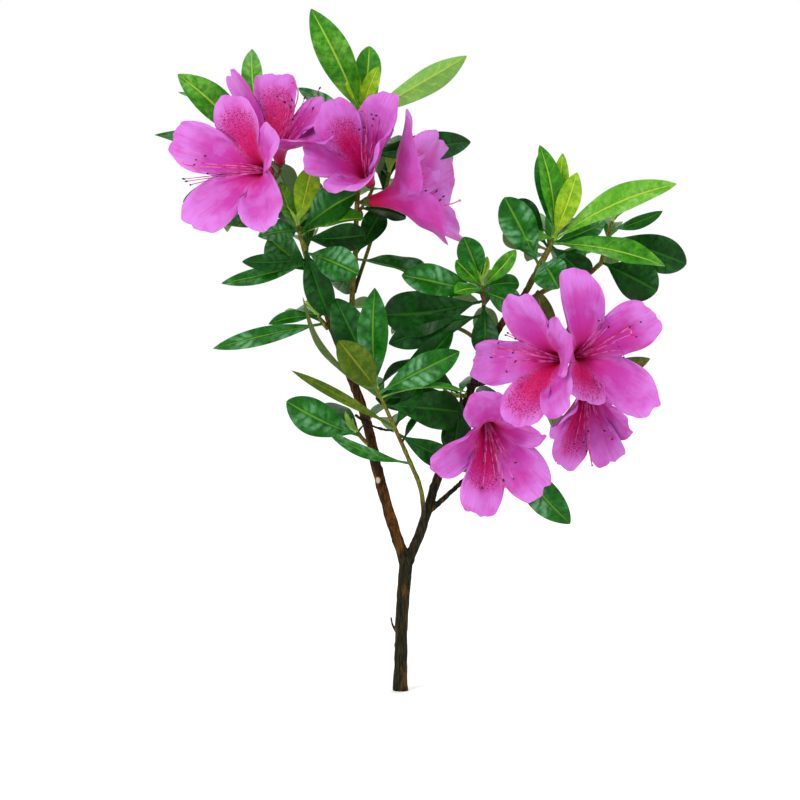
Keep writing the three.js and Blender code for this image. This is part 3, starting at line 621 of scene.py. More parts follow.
def remeshed(shape, grain):
    points, faces = shape
    rough = bpy.data.meshes.new("rough_wood")
    rough.from_pydata((points * MM).tolist(), [], faces)
    helper = bpy.data.objects.new("rough_wood", rough)
    bpy.context.scene.collection.objects.link(helper)
    modifier = helper.modifiers.new("one skin", "REMESH")
    modifier.mode = "VOXEL"
    modifier.voxel_size = grain
    skin = bpy.data.meshes.new_from_object(helper.evaluated_get(bpy.context.evaluated_depsgraph_get()))
    skin_points = np.empty(len(skin.vertices) * 3)
    skin.vertices.foreach_get("co", skin_points)
    normals = np.empty(len(skin.vertices) * 3)
    skin.vertices.foreach_get("normal", normals)
    skin_faces = [list(face.vertices) for face in skin.polygons]
    bpy.data.objects.remove(helper)
    return skin_points.reshape(-1, 3) / MM, normals.reshape(-1, 3), skin_faces


wood_points, wood_normals, wood_faces = remeshed(
    joined([tube(path, radii, WOOD_SIDES) for path, radii in wood_limbs.values()]), WOOD_GRAIN)
print("wood skin:", len(wood_points), "points")

# %% [markdown]
# The relief is carved into the skin itself, so that it shows in the outline too: shallow fissures from
# noise drawn out along the limb, soft lumps, and scars where leaves once sat. A scar is a small pit in a
# raised rim, and the scars spiral up each limb.

# %% Bark relief
FISSURE = {"stretch": [0.9, 0.9, 0.11], "rough": 0.9, "finer": 2.1, "layers": 4, "height": 0.26}
LUMP = {"closeness": 0.13, "height": 0.35}
SCAR = {"spacing": 11, "end": 4, "shift": 5, "swing": 40, "width": 1.1, "rim": 0.5, "pit": 0.42,
        "pit_share": 0.4, "seed": 7}


def scars_on(path, radii, deal):
    """Places of old leaf scars, spiralling up a limb."""
    run = run_along(path)
    places = []
    for i, distance in enumerate(np.arange(SCAR["spacing"], run[-1] - SCAR["end"], SCAR["spacing"])):
        k = int(np.searchsorted(run, distance + SCAR["shift"] * deal()))
        k = min(k, len(path) - 2)
        turn = math.radians(GOLDEN_ANGLE * i + SCAR["swing"] * deal())
        out = np.array([math.cos(turn), math.sin(turn), 0])
        places.append(path[k] + out * radii[k])
    return places


def relief(points):
    """How far each point of the bark stands out, in millimetres."""
    fissure = np.array([noise.fractal(Vector(p), FISSURE["rough"], FISSURE["finer"], FISSURE["layers"])
                        for p in points * FISSURE["stretch"]])
    lumps = np.array([noise.noise(Vector(p) * LUMP["closeness"]) for p in points])
    height = FISSURE["height"] * fissure + LUMP["height"] * lumps
    deal = dealer(SCAR["seed"])
    for path, radii in wood_limbs.values():
        for place in scars_on(path, radii, deal):
            away = np.linalg.norm(points - place, axis=1)
            rim = SCAR["rim"] * np.exp(-((away / SCAR["width"]) ** 2))
            pit = SCAR["pit"] * np.exp(-((away / (SCAR["pit_share"] * SCAR["width"])) ** 2))
            height += rim - pit
    return height


bark_height = relief(wood_points)
print("bark relief from", round(bark_height.min(), 2), "to", round(bark_height.max(), 2), "mm")

# %% [markdown]
# The finish has to know where on the plant it is: how warm the bark is, how young, and where the one pale
# scar sits. These could be painted by hand. Here each point asks for the nearest limb, and the answers
# are kept on the points as marks. The cut at the ground is made flat again.

# %% Marks on the wood
WARM_FROM = (70, 100)
YOUNG_FROM = (0.8, 1.0)
MOST_YOUTH = 0.8
PALE_SCAR = {"place": np.array([-12.2, -3.4, 117.5]), "stretch": [1, 1, 1.3], "edge": (1.0, 1.6)}


def nearest_limb(points, limbs):
    """For each point: the limb whose centre line is nearest, and the share of that limb's run."""
    rows = [(name, i / (len(path) - 1), p) for name, (path, _) in limbs.items() for i, p in enumerate(path)]
    tree = kdtree.KDTree(len(rows))
    for i, (_, _, p) in enumerate(rows):
        tree.insert(p, i)
    tree.balance()
    found = [rows[tree.find(p)[1]] for p in points]
    return np.array([name for name, _, _ in found]), np.array([share for _, share, _ in found])


nearest, share = nearest_limb(wood_points, wood_limbs)
wood_points = wood_points + wood_normals * bark_height[:, None]
wood_points[:, 2] = np.maximum(wood_points[:, 2], 0)
scar_distance = np.linalg.norm((wood_points - PALE_SCAR["place"]) / PALE_SCAR["stretch"], axis=1)
wood_marks = {
    "warmth": np.where(nearest == "left_bough", smooth(wood_points[:, 2], *WARM_FROM), 0),
    "youth": np.where(np.isin(nearest, BROWN_LIMBS), smooth(share, *YOUNG_FROM) * MOST_YOUTH, 0),
    "scar": 1 - smooth(scar_distance, *PALE_SCAR["edge"]),
}
mesh_piece("woody_limbs", (wood_points, wood_faces), [bark_material],
           ["trunk", *BROWN_LIMBS], marks=wood_marks)

# %% [markdown]
# ## Green shoots
# Young shoots are olive green, only two or three millimetres thick, and slightly knobbly where leaves
# once sat. A curve with a bevel would draw them, but without the knobs. So each is a tube whose foot is
# sunk in its parent, where no join shows. A shoot starts with the stem of its mass of leaves.

# %% Stems of the masses
STEM_LEAD = 1.5
STEM_STEP, SIDE_STEM_STEP = 6, 4


def mass_stem(mass):
    """The centre line and radii of a mass's own stem, just as the solids have it."""
    if isinstance(mass["from"], str):
        path = LIMB_PATHS[mass["from"]]
        onward = unit(path[-1] - path[-2])
        start = path[-1] + onward * CLEAR
        stem = even_path([start + onward * STEM_LEAD, *mass["stem"]], STEM_STEP)
        foot = LIMBS[mass["from"]][0][1]
        radii = np.concatenate([[foot], mix(foot, STEM_TIP_WIDTH, np.linspace(0, 1, len(stem)))]) / 2
        return np.vstack([start, stem]), radii
    stem = even_path([mass["from"], *mass["stem"]], SIDE_STEM_STEP)
    return stem, np.full(len(stem), STEM_TIP_WIDTH / 2)


STEMS = {name: mass_stem(mass) for name, mass in MASSES.items()}
print("stems of masses:", len(STEMS))

# %% [markdown]
# The stems get their knobs, and the twigs below them swell at the foot. A twig that springs from old wood
# is brown there for a finger's breadth, and a mark tells the finish how far. The front twig is led down
# into the right bough, from which it grows.

# %% Knobbly shoots
SHOOT_SIDES = 14
SHOOT_SINK, STEM_SINK, STEM_FOOT = 7, 2.5, 0.95
FRONT_TWIG_ROOT, FRONT_TWIG_SINK = np.array([12.4, 1.6, 92.0]), 4
KNOT = {"count": 5, "height": 0.18, "length": 1.4, "step": 1.2, "tip": 2, "tip_end": 0.15, "seed": 31}
FOOT_SWELL, FOOT_RUN = 0.35, 5
AGED_RUN = (8, 22)
ON_GREEN_WOOD = ["left_top_twig"]


def knobbly(path, radii, seed):
    """The same stem in fine steps, rounded at its tip, with a slight swelling at each old leaf."""
    fine = even_path(path, KNOT["step"])
    shares = np.linspace(0, 1, len(fine))
    deal = dealer(seed)
    run = run_along(fine)
    knots = [deal() * run[-1] for _ in range(KNOT["count"])]
    swelling = sum(KNOT["height"] * np.exp(-(((run - knot) / KNOT["length"]) ** 2)) for knot in knots)
    thick = np.interp(shares, np.linspace(0, 1, len(radii)), radii) + swelling
    thick *= np.sqrt(np.clip((run[-1] - run + KNOT["tip_end"]) / KNOT["tip"], 0, 1))
    return tube(fine, thick, SHOOT_SIDES)


shoots, age = [], []
for i, (path, radii) in enumerate(STEMS.values()):
    sunk = np.vstack([path[0] + unit(path[0] - path[1]) * STEM_SINK, path])
    shoots.append(knobbly(sunk, np.concatenate([[radii[0] * STEM_FOOT], radii]), KNOT["seed"] + i))
    age.append(np.zeros(len(shoots[-1][0])))
for name in LIMBS:
    if name not in BROWN_LIMBS:
        lead = [back_from(name, SHOOT_SINK)]
        if name == "front_twig":
            lead = [FRONT_TWIG_ROOT, back_from(name, FRONT_TWIG_SINK)]
        path, radii = fine_limb(name, lead)
        run = run_along(path)
        shoots.append(tube(path, radii * (1 + FOOT_SWELL * np.exp(-run / FOOT_RUN)), SHOOT_SIDES))
        on_old_wood = name not in ON_GREEN_WOOD
        age.append(np.repeat(1 - smooth(run, *AGED_RUN), SHOOT_SIDES) * on_old_wood)
print(len(shoots), "shoots")

# %% [markdown]
# The young skin is streaked green with a brown blush in places, and the aged foot is dark. Streaks come
# from the same drawn-out noise as the bark's fibres, only finer. Two finishes on one twig would meet in a
# hard line, so a single finish goes from one to the other by the mark.

# %% Shoot finish
def shoot_finish():
    shoot = Finish("green_shoot", 0.62, Specular_IOR_Level=0.2)
    place = shoot.node("TexCoord", output="Object")
    streaks = shoot.noise(shoot.stretched(place, (1800, 1800, 260)), 1.0, 4.0, 0.6)
    blush = shoot.noise(place, 90.0, 3.0)
    green = shoot.blend(shoot.step(streaks, 0.35, 0.7), paint(66, 64, 10), paint(128, 130, 36))
    shoot.bump(streaks, 0.4, 0.0004)
    young = shoot.blend(shoot.step(blush, 0.5, 0.68), green, paint(92, 56, 18))
    old = shoot.blend(shoot.step(streaks, 0.35, 0.7), paint(18, 14, 6), paint(58, 46, 20))
    return shoot.colour(shoot.blend(shoot.mark("age"), young, old))


shoot_material = shoot_finish()
mesh_piece("green_shoots", joined(shoots), [shoot_material],
           [name for name in LIMBS if name not in BROWN_LIMBS] + list(MASSES),
           marks={"age": np.concatenate(age)})

# %% [markdown]
# ## Leaves
# An azalea leaf is a blunt or pointed oval on a very short stalk. Its midrib is sunk on the upper face and
# stands out as a keel below, side veins run forward to the edge, and the skin between them is softly
# quilted. The edges are wavy and turn up a little. One modelled leaf could be copied all over the plant,
# but then every leaf would bend alike. So each blade is a grid of points of its own, bent and quilted by
# formulas, with an upper and a lower skin that meet at the edge.

# %% Leaf outline
LEAF_ROWS, LEAF_COLUMNS = 38, 15
LEAF = {
    "slender": 0.26, "broad": 0.50, "stalk": 1.6, "stalk_thick": 1.3, "stalk_end": 0.07, "thick": 0.42,
    "fold": 0.34, "ripple": 0.16, "arch": 0.08, "droop": 0.07, "twist": 0.20, "bend": 0.06,
    "vein_gap": 0.115, "vein_slant": 0.11, "quilt": 0.17, "quilt_width": 16,
    "keel": 0.45, "keel_width": 0.7, "groove": 0.2, "groove_width": 0.45,
}
POINTED = (1.1, 0.9, 0.252)
ROUNDED = (1.3, 0.62, 0.2987)


def leaf_outline(t, blunt):
    """The share of the full width at each share of the length, from pointed (0) to blunt (1)."""
    s = np.clip((t - LEAF["stalk_end"]) / (1 - LEAF["stalk_end"]), 0, 1)
    pointed, rounded = (s**near * (1 - s)**far / most for near, far, most in (POINTED, ROUNDED))
    return mix(pointed, rounded, blunt)


print("a leaf is blunt from", LEAF["broad"], "of its length in width, and pointed below", LEAF["slender"])

# %% [markdown]
# The height of each point over the flat leaf is a sum of simple forms: the long arch, the fold along the
# midrib with its rippled edges, the quilting between the side veins, a drooping tip and a slight twist.
# 't' runs from the stalk to the tip and 'u' from edge to edge.

# %% Leaf blade
def leaf_blade(root, along, face, length, width, deal):
    """The upper and lower skins of one leaf: two grids of points, and its plan for the finishes."""
    side = unit(np.cross(face, along))
    t, u = np.meshgrid(1 - (1 - np.linspace(0, 1, LEAF_ROWS)) ** 1.25, np.linspace(-1, 1, LEAF_COLUMNS),
                       indexing="ij")
    blunt = smooth(width / length, LEAF["slender"], LEAF["broad"]) * 0.7 + 0.25 * deal()
    half = np.maximum(leaf_outline(t, blunt) * width / 2, LEAF["stalk"] / 2 * (1 - smooth(t, 0.9, 1)))
    blade = smooth(t, 0.08, 0.25)
    wave = (0.4 + 0.6 * deal()) * np.sin((9 + 5 * deal()) * t + 6 * deal() + 1.4 * np.sign(u))
    fold = LEAF["fold"] * (0.6 + 0.8 * deal())
    lift = half * (fold * (np.abs(u) ** 0.9) + LEAF["ripple"] * wave * u**2) * blade
    vein = (t - np.abs(u) * LEAF["vein_slant"]) / LEAF["vein_gap"]
    quilt = LEAF["quilt"] * (0.5 - 0.5 * np.cos(2 * math.pi * vein)) * (1 - u**4) * np.abs(u) ** 0.5 * blade
    quilt *= width / LEAF["quilt_width"] * (1 - smooth(t, 0.85, 1))
    droop = -LEAF["droop"] * length * smooth(t, 0.55, 1) ** 2 * (deal() - 0.2)
    twist = LEAF["twist"] * (deal() - 0.5) * half * u * t
    arch = LEAF["arch"] * length * 4 * t * (1 - t)
    rise = arch + lift + quilt + droop + twist
    stalk_share = 1 - smooth(t, 0.05, 0.14)
    thick = mix(LEAF["thick"] * (1 - np.abs(u) ** 6), LEAF["stalk_thick"] * np.sqrt(1 - u**2), stalk_share)
    keel = LEAF["keel"] * np.exp(-((u * half / LEAF["keel_width"]) ** 2)) * (1 - smooth(t, 0.7, 1)) * blade
    groove = LEAF["groove"] * np.exp(-((u * half / LEAF["groove_width"]) ** 2)) * blade
    bend = LEAF["bend"] * length * (deal() - 0.5) * np.sin(math.pi * t)

    def skin(height):
        return (root + along * (length * t)[..., None] + side * (half * u + bend)[..., None]
                + face * height[..., None]).reshape(-1, 3)

    plan = np.stack([t.ravel(), (u.ravel() + 1) / 2], axis=1)
    return skin(rise + thick / 2 - groove), skin(rise - thick / 2 - keel), plan


print("faces of one leaf:", 2 * (LEAF_ROWS - 1) * (LEAF_COLUMNS - 1))

# %% [markdown]
# The rule may swing a leaf aside when something is in its way. The solids have settled that already, so
# each leaf takes the first swing whose tip is a corner of its solid, and one that found no room has none.

# %% Settling the leaves
SWINGS = [0, -8, 8, -16, 16, -24, 24, -34, 34]
HIDDEN = {"length": 40, "more": 16, "slim": 0.3, "lean": -38, "lean_more": -42, "jitter": 30, "stem": 30}
HIDDEN_KINDS = "fgdgdgf"
ROOT_OUT = 0.2
TIP_REACH = 0.35


def point_down(path, down):
    """The point on a stem at a distance below its tip."""
    run = run_along(path[::-1])
    if down > run[-1]:
        return (path[0] + path[1]) / 2
    return np.array([np.interp(down, run, path[::-1][:, axis]) for axis in range(3)])


def leaf_face(along, turn):
    """A leaf's face: towards the viewer, then up by 'turn'."""
    viewer = np.array([0.0, -1.0, 0.0])
    viewer = unit(viewer - along * (viewer @ along))
    side = np.cross(viewer, along) * (-1 if along[0] < -1e-6 else 1)
    return viewer * math.cos(math.radians(turn)) + side * math.sin(math.radians(turn))


def solid_corners(name):
    """A search tree of the corners of a mass's solid."""
    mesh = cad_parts[name].data
    tree = kdtree.KDTree(len(mesh.vertices))
    for vertex in mesh.vertices:
        tree.insert(vertex.co / MM, vertex.index)
    tree.balance()
    return tree


def settled(corners, root, bearing, lean, length, face_of, nudge=0):
    """Where a leaf stands: its root, its direction and its face, or None where it has no solid."""
    for swing in SWINGS:
        along = direction(bearing, lean + swing)
        if corners.find(root + along * (length + ROOT_OUT))[2] < TIP_REACH:
            along = direction(bearing + nudge, lean + swing)
            return root + along * ROOT_OUT, along, face_of(along)
    return None


print("a leaf may swing by up to", max(SWINGS), "degrees")

# %% [markdown]
# The leaves that show come from the tables, and the hidden ones are dealt out round the back of the stem
# in a spiral, as on a real shoot. Both are looked up in the solids by the helper above.

# %% All the leaves
def leaves_of(name, mass):
    """Every leaf of a mass: where it stands, its length, width and kind."""
    corners, (path, _) = solid_corners(name), STEMS[name]
    found = []
    for i, (row, kind) in enumerate(zip(mass["leaves"], mass["kinds"])):
        down, bearing, lean, length, width, turn = row
        swing, longer, wider, up = NUDGES.get(name, {}).get(i, (0, 0, 0, 0))
        stand = settled(corners, point_down(path, down), bearing, lean, length,
                        lambda along: leaf_face(along, turn + up), swing)
        found.append((stand, length + longer, width + wider, kind))
    deal = dealer(mass["seed"])
    upward = unit(path[-1] - path[0]) + [0, 0, 0.8]
    share = min(len(path) * 4, HIDDEN["stem"]) / mass["hidden"]
    for i in range(mass["hidden"]):
        bearing = i * GOLDEN_ANGLE + HIDDEN["jitter"] * deal()
        lean = HIDDEN["lean"] + HIDDEN["lean_more"] * deal()
        long = HIDDEN["length"] + HIDDEN["more"] * deal()
        stand = settled(corners, point_down(path, 1 + share * i), bearing, lean, long,
                        lambda along: unit(upward - along * (upward @ along)))
        kind = HIDDEN_KINDS[(i * 3 + mass["seed"]) % len(HIDDEN_KINDS)]
        found.append((stand, long, long * HIDDEN["slim"], kind))
    return [leaf for leaf in found if leaf[0] is not None], sum(leaf[0] is None for leaf in found)


ALL_LEAVES = {name: leaves_of(name, mass) for name, mass in MASSES.items()}
print("leaves placed:", sum(len(leaves) for leaves, _ in ALL_LEAVES.values()),
      "left out:", sum(missing for _, missing in ALL_LEAVES.values()))

# %% [markdown]
# Seven kinds of leaf share one recipe: a skin that mottles from a deep to a bright green, a painted sheen
# (a pale, silvery reflection painted into the colour between the veins), side veins, a thin midrib, and a
# gloss. A painted picture of a leaf would blur close up. Veins that are worked out stay sharp. The plan of
# the leaf, from stalk to tip and from edge to edge, is kept as a map, so the veins follow the blade.

# %% Leaf finish
def leaf_finish(name, skin, deep, painted_sheen, vein, midrib, roughness, painted_sheen_share, vein_height):
    leaf = Finish(name, roughness, Specular_IOR_Level=0.16)
    along = leaf.node("SeparateXYZ", {0: leaf.node("UVMap", uv_map="leaf_plan")})
    across = along.node.outputs[1]
    place = leaf.node("TexCoord", output="Object")
    off_middle = leaf.sums("ABSOLUTE", leaf.sums("MULTIPLY_ADD", across, 2.0, -1.0))
    rib = leaf.step(off_middle, 0.02, 0.09, 1.0, 0.0)
    wander = leaf.noise(place, 160.0, 2.0)
    slanted = leaf.sums("MULTIPLY_ADD", off_middle, -LEAF["vein_slant"], along)
    phase = leaf.sums("DIVIDE", slanted, LEAF["vein_gap"])
    phase = leaf.sums("ADD", phase, leaf.sums("MULTIPLY_ADD", wander, 1.0, -0.5))
    line = leaf.sums("ABSOLUTE", leaf.sums("SUBTRACT", leaf.sums("FRACT", phase), 0.5))
    side_vein = leaf.sums("MULTIPLY", leaf.step(line, 0.42, 0.49),
                          leaf.step(off_middle, 0.6, 0.97, 1.0, 0.0))
    mottle = leaf.noise(place, 300.0, 4.0, 0.6)
    broad = leaf.noise(place, 55.0, 2.0)
    cells = leaf.noise(place, 2600.0, 2.0, 0.5)
    body = leaf.blend(leaf.step(mottle, 0.32, 0.70), deep, skin)
    body = leaf.blend(leaf.step(broad, 0.35, 0.55, 0.55, 0.0), body, deep)
    between = leaf.sums("MULTIPLY", leaf.step(line, 0.10, 0.46, 1.0, 0.25),
                        leaf.step(off_middle, 0.05, 0.25))
    # Painted sheen: a pale, silvery reflection painted into the skin between the veins, in broad patches.
    painted_sheen_mask = leaf.sums("MULTIPLY", between, leaf.step(broad, 0.46, 0.66, 0.0, painted_sheen_share))
    painted_sheen_mask = leaf.sums("MULTIPLY", painted_sheen_mask, leaf.step(mottle, 0.36, 0.62, 0.5, 1.0))
    body = leaf.blend(painted_sheen_mask, body, painted_sheen)
    body = leaf.blend(leaf.sums("MULTIPLY", side_vein, 0.42), body, vein)
    height = leaf.sums("MULTIPLY_ADD", side_vein, vein_height, leaf.sums("MULTIPLY", cells, 0.35))
    height = leaf.sums("MULTIPLY_ADD", rib, vein_height, height)
    leaf.bump(height, 0.35, 0.0003)
    return leaf.colour(leaf.blend(leaf.sums("MULTIPLY", rib, 0.8), body, midrib))


print("side veins on a leaf:", round(1 / LEAF["vein_gap"]))

# %% [markdown]
# Each kind has a row of colours: skin, its deep spots, painted sheen, side veins and midrib, then its
# roughness and how strongly the painted sheen shows. They were chosen from young yellow-green to old olive;
# the glossy kind carries the most painted sheen. The under side has the same veins on a paler, duller skin,
# where they stand out instead of in, and a weaker painted sheen.

# %% Kinds of leaf
# The third colour of each row is the painted sheen, a painted reflection.
LEAF_KINDS = {
    "y": ("young", (146, 190, 8), (92, 150, 2), (188, 212, 66), (166, 200, 40), (204, 216, 90), 0.42, 0.35),
    "f": ("fresh", (70, 152, 10), (30, 104, 2), (142, 192, 86), (98, 166, 30), (164, 200, 70), 0.38, 0.45),
    "g": ("glossy", (28, 116, 10), (4, 76, 2), (110, 168, 122), (6, 72, 4), (98, 150, 36), 0.34, 0.85),
    # d is partly painted shade: its dark skin stands for leaves that lie in shadow.
    "d": ("dark", (6, 84, 2), (0, 50, 0), (58, 122, 62), (0, 46, 0), (40, 108, 14), 0.36, 0.35),
    "p": ("pale", (116, 182, 50), (78, 150, 24), (166, 212, 118), (138, 194, 70), (186, 208, 74),
          0.40, 0.45),
    "o": ("olive", (84, 108, 2), (50, 80, 0), (128, 146, 50), (66, 94, 2), (128, 138, 30), 0.42, 0.30),
    "b": ("brown_olive", (86, 94, 26), (56, 60, 12), (122, 124, 72), (66, 72, 20), (122, 120, 50),
          0.46, 0.30),
}
UNDER_LEAF = np.array(paint(170, 200, 130))
# The third of these numbers is how strongly the painted sheen, a painted reflection, shows on the under
# side.
UNDER_SHARE, UNDER_ROUGHNESS, UNDER_PAINTED_SHEEN = 0.28, 0.6, 0.2
SUNK, RAISED = -1.0, 1.0

leaf_materials, leaf_slot = [], {}
for letter, (name, *shades, roughness, painted_sheen_share) in LEAF_KINDS.items():
    leaf_slot[letter] = len(leaf_materials)
    skin, deep, painted_sheen, vein, midrib = (paint(*shade) for shade in shades)
    leaf_materials.append(leaf_finish(
        name + "_leaf", skin, deep, painted_sheen, vein, midrib, roughness, painted_sheen_share, SUNK))
    under, under_deep = (tuple(mix(np.array(shade), UNDER_LEAF, UNDER_SHARE)) for shade in (skin, deep))
    leaf_materials.append(leaf_finish(
        name + "_leaf_under", under, under_deep, painted_sheen, midrib, midrib, UNDER_ROUGHNESS, UNDER_PAINTED_SHEEN, RAISED))
print(len(leaf_materials), "leaf finishes")

# %% [markdown]
# Where a shoot ends in leaves, a tuft of small young ones stands round its tip, still half folded. They
# could have a simpler shape of their own, but they are the same leaves in small, so the same formula makes
# them. The three stems that carry blooms have none.

# %% Tufts
TUFT = {"count": 5, "length": 9.0, "more": 6.0, "slim": 0.27, "lean": 0.34, "jitter": 30, "out": 0.6,
        "down": 0.5}
TUFTLESS = ["left_top_leaves", "middle_leaves", "truss_leaves"]


def tuft(path, deal):
    """Small young leaves round the tip of a shoot, in the same form as the others."""
    onward = unit(path[-1] - path[-2])
    side = unit(np.cross(onward, [0.3, 1.0, 0.2]))
    other = np.cross(onward, side)
    leaves = []
    for i in range(TUFT["count"]):
        turn = math.radians(GOLDEN_ANGLE * i + TUFT["jitter"] * deal())
        out = side * math.cos(turn) + other * math.sin(turn)
        along = unit(onward + out * TUFT["lean"] * (0.5 + deal()))
        face = unit(-out + along * (out @ along))
        length = TUFT["length"] + TUFT["more"] * deal()
        root = path[-1] - onward * (TUFT["down"] + deal()) + out * TUFT["out"]
        leaves.append(((root, along, face), length, length * TUFT["slim"], "y"))
    return leaves


print("tufts:", len(MASSES) - len(TUFTLESS))

# %% [markdown]
# The leaves of one mass become one mesh, as hundreds of single objects would slow every other program. A
# second map lays every skin on its own tile of a sheet, so that the finishes can be baked without two
# leaves sharing a place.

# %% Grow the leaves
TILE_MARGIN = 0.04
LEAF_SHAPE_SEED, TUFT_SEED = 500, 800


def tiles(plans):
    """Each plan on its own tile of one sheet, in tall columns, as a leaf is about three times as long."""
    columns = max(1, round(math.sqrt(len(plans) / 3)))
    rows = math.ceil(len(plans) / columns)
    placed = []
    for i, plan in enumerate(plans):
        corner = np.array([i % columns, i // columns])
        inset = TILE_MARGIN + plan * (1 - 2 * TILE_MARGIN)
        placed.append((corner + inset) / [columns, rows])
    return np.vstack(placed)


skin_faces = grid_faces(LEAF_ROWS, LEAF_COLUMNS)
for name, (leaves, _) in ALL_LEAVES.items():
    seed = MASSES[name]["seed"]
    deal = dealer(seed + LEAF_SHAPE_SEED)
    shapes, plans, slots = [], [], []
    young = [] if name in TUFTLESS else tuft(STEMS[name][0], dealer(seed + TUFT_SEED))
    for (root, along, face), length, width, kind in leaves + young:
        upper, lower, plan = leaf_blade(root, along, face, length, width, deal)
        shapes += [(upper, skin_faces[:, ::-1].tolist()), (lower, skin_faces.tolist())]
        plans += [plan, plan]
        slots += [leaf_slot[kind]] * len(skin_faces) + [leaf_slot[kind] + 1] * len(skin_faces)
    used = sorted(set(slots))
    mesh_piece(name.replace("leaves", "leaf_blades"), joined(shapes), [leaf_materials[i] for i in used],
               [name], slots=[used.index(i) for i in slots],
               maps={"OFBake": tiles(plans), "leaf_plan": np.vstack(plans)})

# %% [markdown]
# ## Blooms
# The corolla is one thin funnel: a narrow tube that flares and parts into five broad lobes with ruffled
# rims. One bloom could be sculpted by hand and copied, but the eight all differ. So each petal is worked
# out as a fan of lines that start at the foot and run to the rim. A bloom's own frame comes first: the
# axis it faces along, and the clock round that axis.

# %% Frame of a bloom
PETALS = 5
PETAL_TURN = 360 / PETALS
PETAL_ROWS, PETAL_COLUMNS = 52, 35
BLOOM = {
    "tube": 2.0, "tube_slope": 13, "flare": (4, 26), "sinus": 27, "reach": 57, "thick": 0.4,
    "rounding": 2.8, "blunt": 0.40, "recurve": 15, "waist": 0.90, "swell": 0.30, "overlap": 1.3,
}


def bloom_frame(bloom):
    """The foot of a bloom, its axis, and the directions of twelve and nine o'clock round it."""
    axis = direction(*bloom["faces"])
    up = unit(np.array([0, 0, 1.0]) - axis * axis[2])
    return np.array(bloom["foot"], float), axis, up, np.cross(axis, up)


def in_bloom(stand, clock, radius, height):
    """Points at a clock angle, a distance from the axis and a height along it."""
    foot, axis, up, left = stand
    clock = np.radians(clock)
    return (foot + axis * height[..., None] + up * (np.cos(clock) * radius)[..., None]
            + left * (np.sin(clock) * radius)[..., None])


def unit_rows(v):
    return v / np.linalg.norm(v, axis=-1, keepdims=True)


print("a petal has", PETAL_ROWS * PETAL_COLUMNS, "points on each skin")

# %% [markdown]
# A lobe has its own outline past the throat: it swells towards the rim and rounds off to a wavy end, which
# is sometimes notched. 'ring' runs from foot to rim, and 'across' from edge to edge of the petal. Waves of
# different lengths are added up, because a single one would look like a cog.

# %% Petal outline
NOTCH = {"depth": 0.03, "width": 0.12, "spread": 0.4, "rare": 0.4}
RAGGED = ((0.018, 4.5), (0.010, 11), (0.004, 23))
WAVE_SHIFT = 6.28


def waves(across, deal, sizes):
    """A sum of waves over the width of a petal, each with its amount and count."""
    return sum(size * np.sin(count * across + WAVE_SHIFT * deal()) for size, count in sizes)


def petal_outline(long, deal):
    """For each point of a petal its ring, its place across, its share of the lobe and its distance."""
    columns = np.sin(np.linspace(-math.pi / 2, math.pi / 2, PETAL_COLUMNS))
    ring, across = np.meshgrid(np.linspace(0, 1, PETAL_ROWS), columns, indexing="ij")
    lobe = np.clip(1 - np.abs(across) ** BLOOM["rounding"], 0, 1) ** BLOOM["blunt"]
    middle = NOTCH["spread"] * (deal() - 0.5)
    is_notched = deal() > NOTCH["rare"]
    notch = NOTCH["depth"] * np.exp(-(((across - middle) / NOTCH["width"]) ** 2)) * is_notched
    ragged = 1 + waves(across, deal, RAGGED) - notch
    distance = ring * mix(BLOOM["sinus"], BLOOM["reach"] * long * ragged, lobe)
    return ring, across, lobe, distance


def petal_spread(long, wide, distance, radius):
    """Half the angle that a petal takes up, and how free it is of its neighbours, from 0 to 1."""
    free = smooth(distance, BLOOM["sinus"] * 0.8, BLOOM["sinus"] * 1.25)
    lobe_run = np.clip((distance - BLOOM["sinus"]) / (BLOOM["reach"] * long - BLOOM["sinus"]), 0, 1)
    lobe_wide = wide / 2 * (BLOOM["waist"] + BLOOM["swell"] * smooth(lobe_run, 0, 0.75))
    widest = PETAL_TURN / 2 * BLOOM["overlap"]
    return mix(PETAL_TURN / 2, np.minimum(widest, np.degrees(lobe_wide / radius)), free), free


print("a lobe is at most", round(PETAL_TURN * BLOOM["overlap"], 1), "degrees wide")

# %% [markdown]
# The slope of a line grows from nearly straight in the tube to the petal's opening, so radius and height
# are sums of its sine and cosine. Neighbouring petals share the slope at their common edge. Ruffles, a
# groove along the middle, a slight cup and fine pleats are then laid on the smooth funnel.

# %% Petal surface
RUFFLE = ((1.3, 3.2), (0.9, 6.5), (0.35, 12))
EDGE = ((1.1, 3.1), (0.7, 6.3))
RELIEF = {"groove": 0.7, "groove_width": 0.10, "cup": 1.8, "lap": 0.9, "pleat": 0.14, "pleats": 26}


def petal_relief(ring, across, free, ruffled, deal):
    """How far each point stands off the smooth funnel."""
    ruffle = waves(across, deal, RUFFLE)
    ruffle *= smooth(ring, 0.5, 1) ** 1.4 * free * ruffled
    edge = waves(4 * ring, deal, EDGE) * np.abs(across) ** 3 * np.sign(across) * free
    groove = (RELIEF["groove"] * np.exp(-((across / RELIEF["groove_width"]) ** 2))
              * smooth(ring, 0.15, 0.4) * (1 - smooth(ring, 0.75, 1)))
    cup = -RELIEF["cup"] * (np.abs(across) ** 2) * free * smooth(ring, 0.4, 0.8)
    lap = RELIEF["lap"] * across * smooth(np.abs(across), 0.3, 0.9) * free
    pleats = RELIEF["pleat"] * np.cos(RELIEF["pleats"] * across) * smooth(ring, 0.3, 0.6)
    return ruffle + edge + groove + cup + lap + pleats * (1 - np.abs(across))


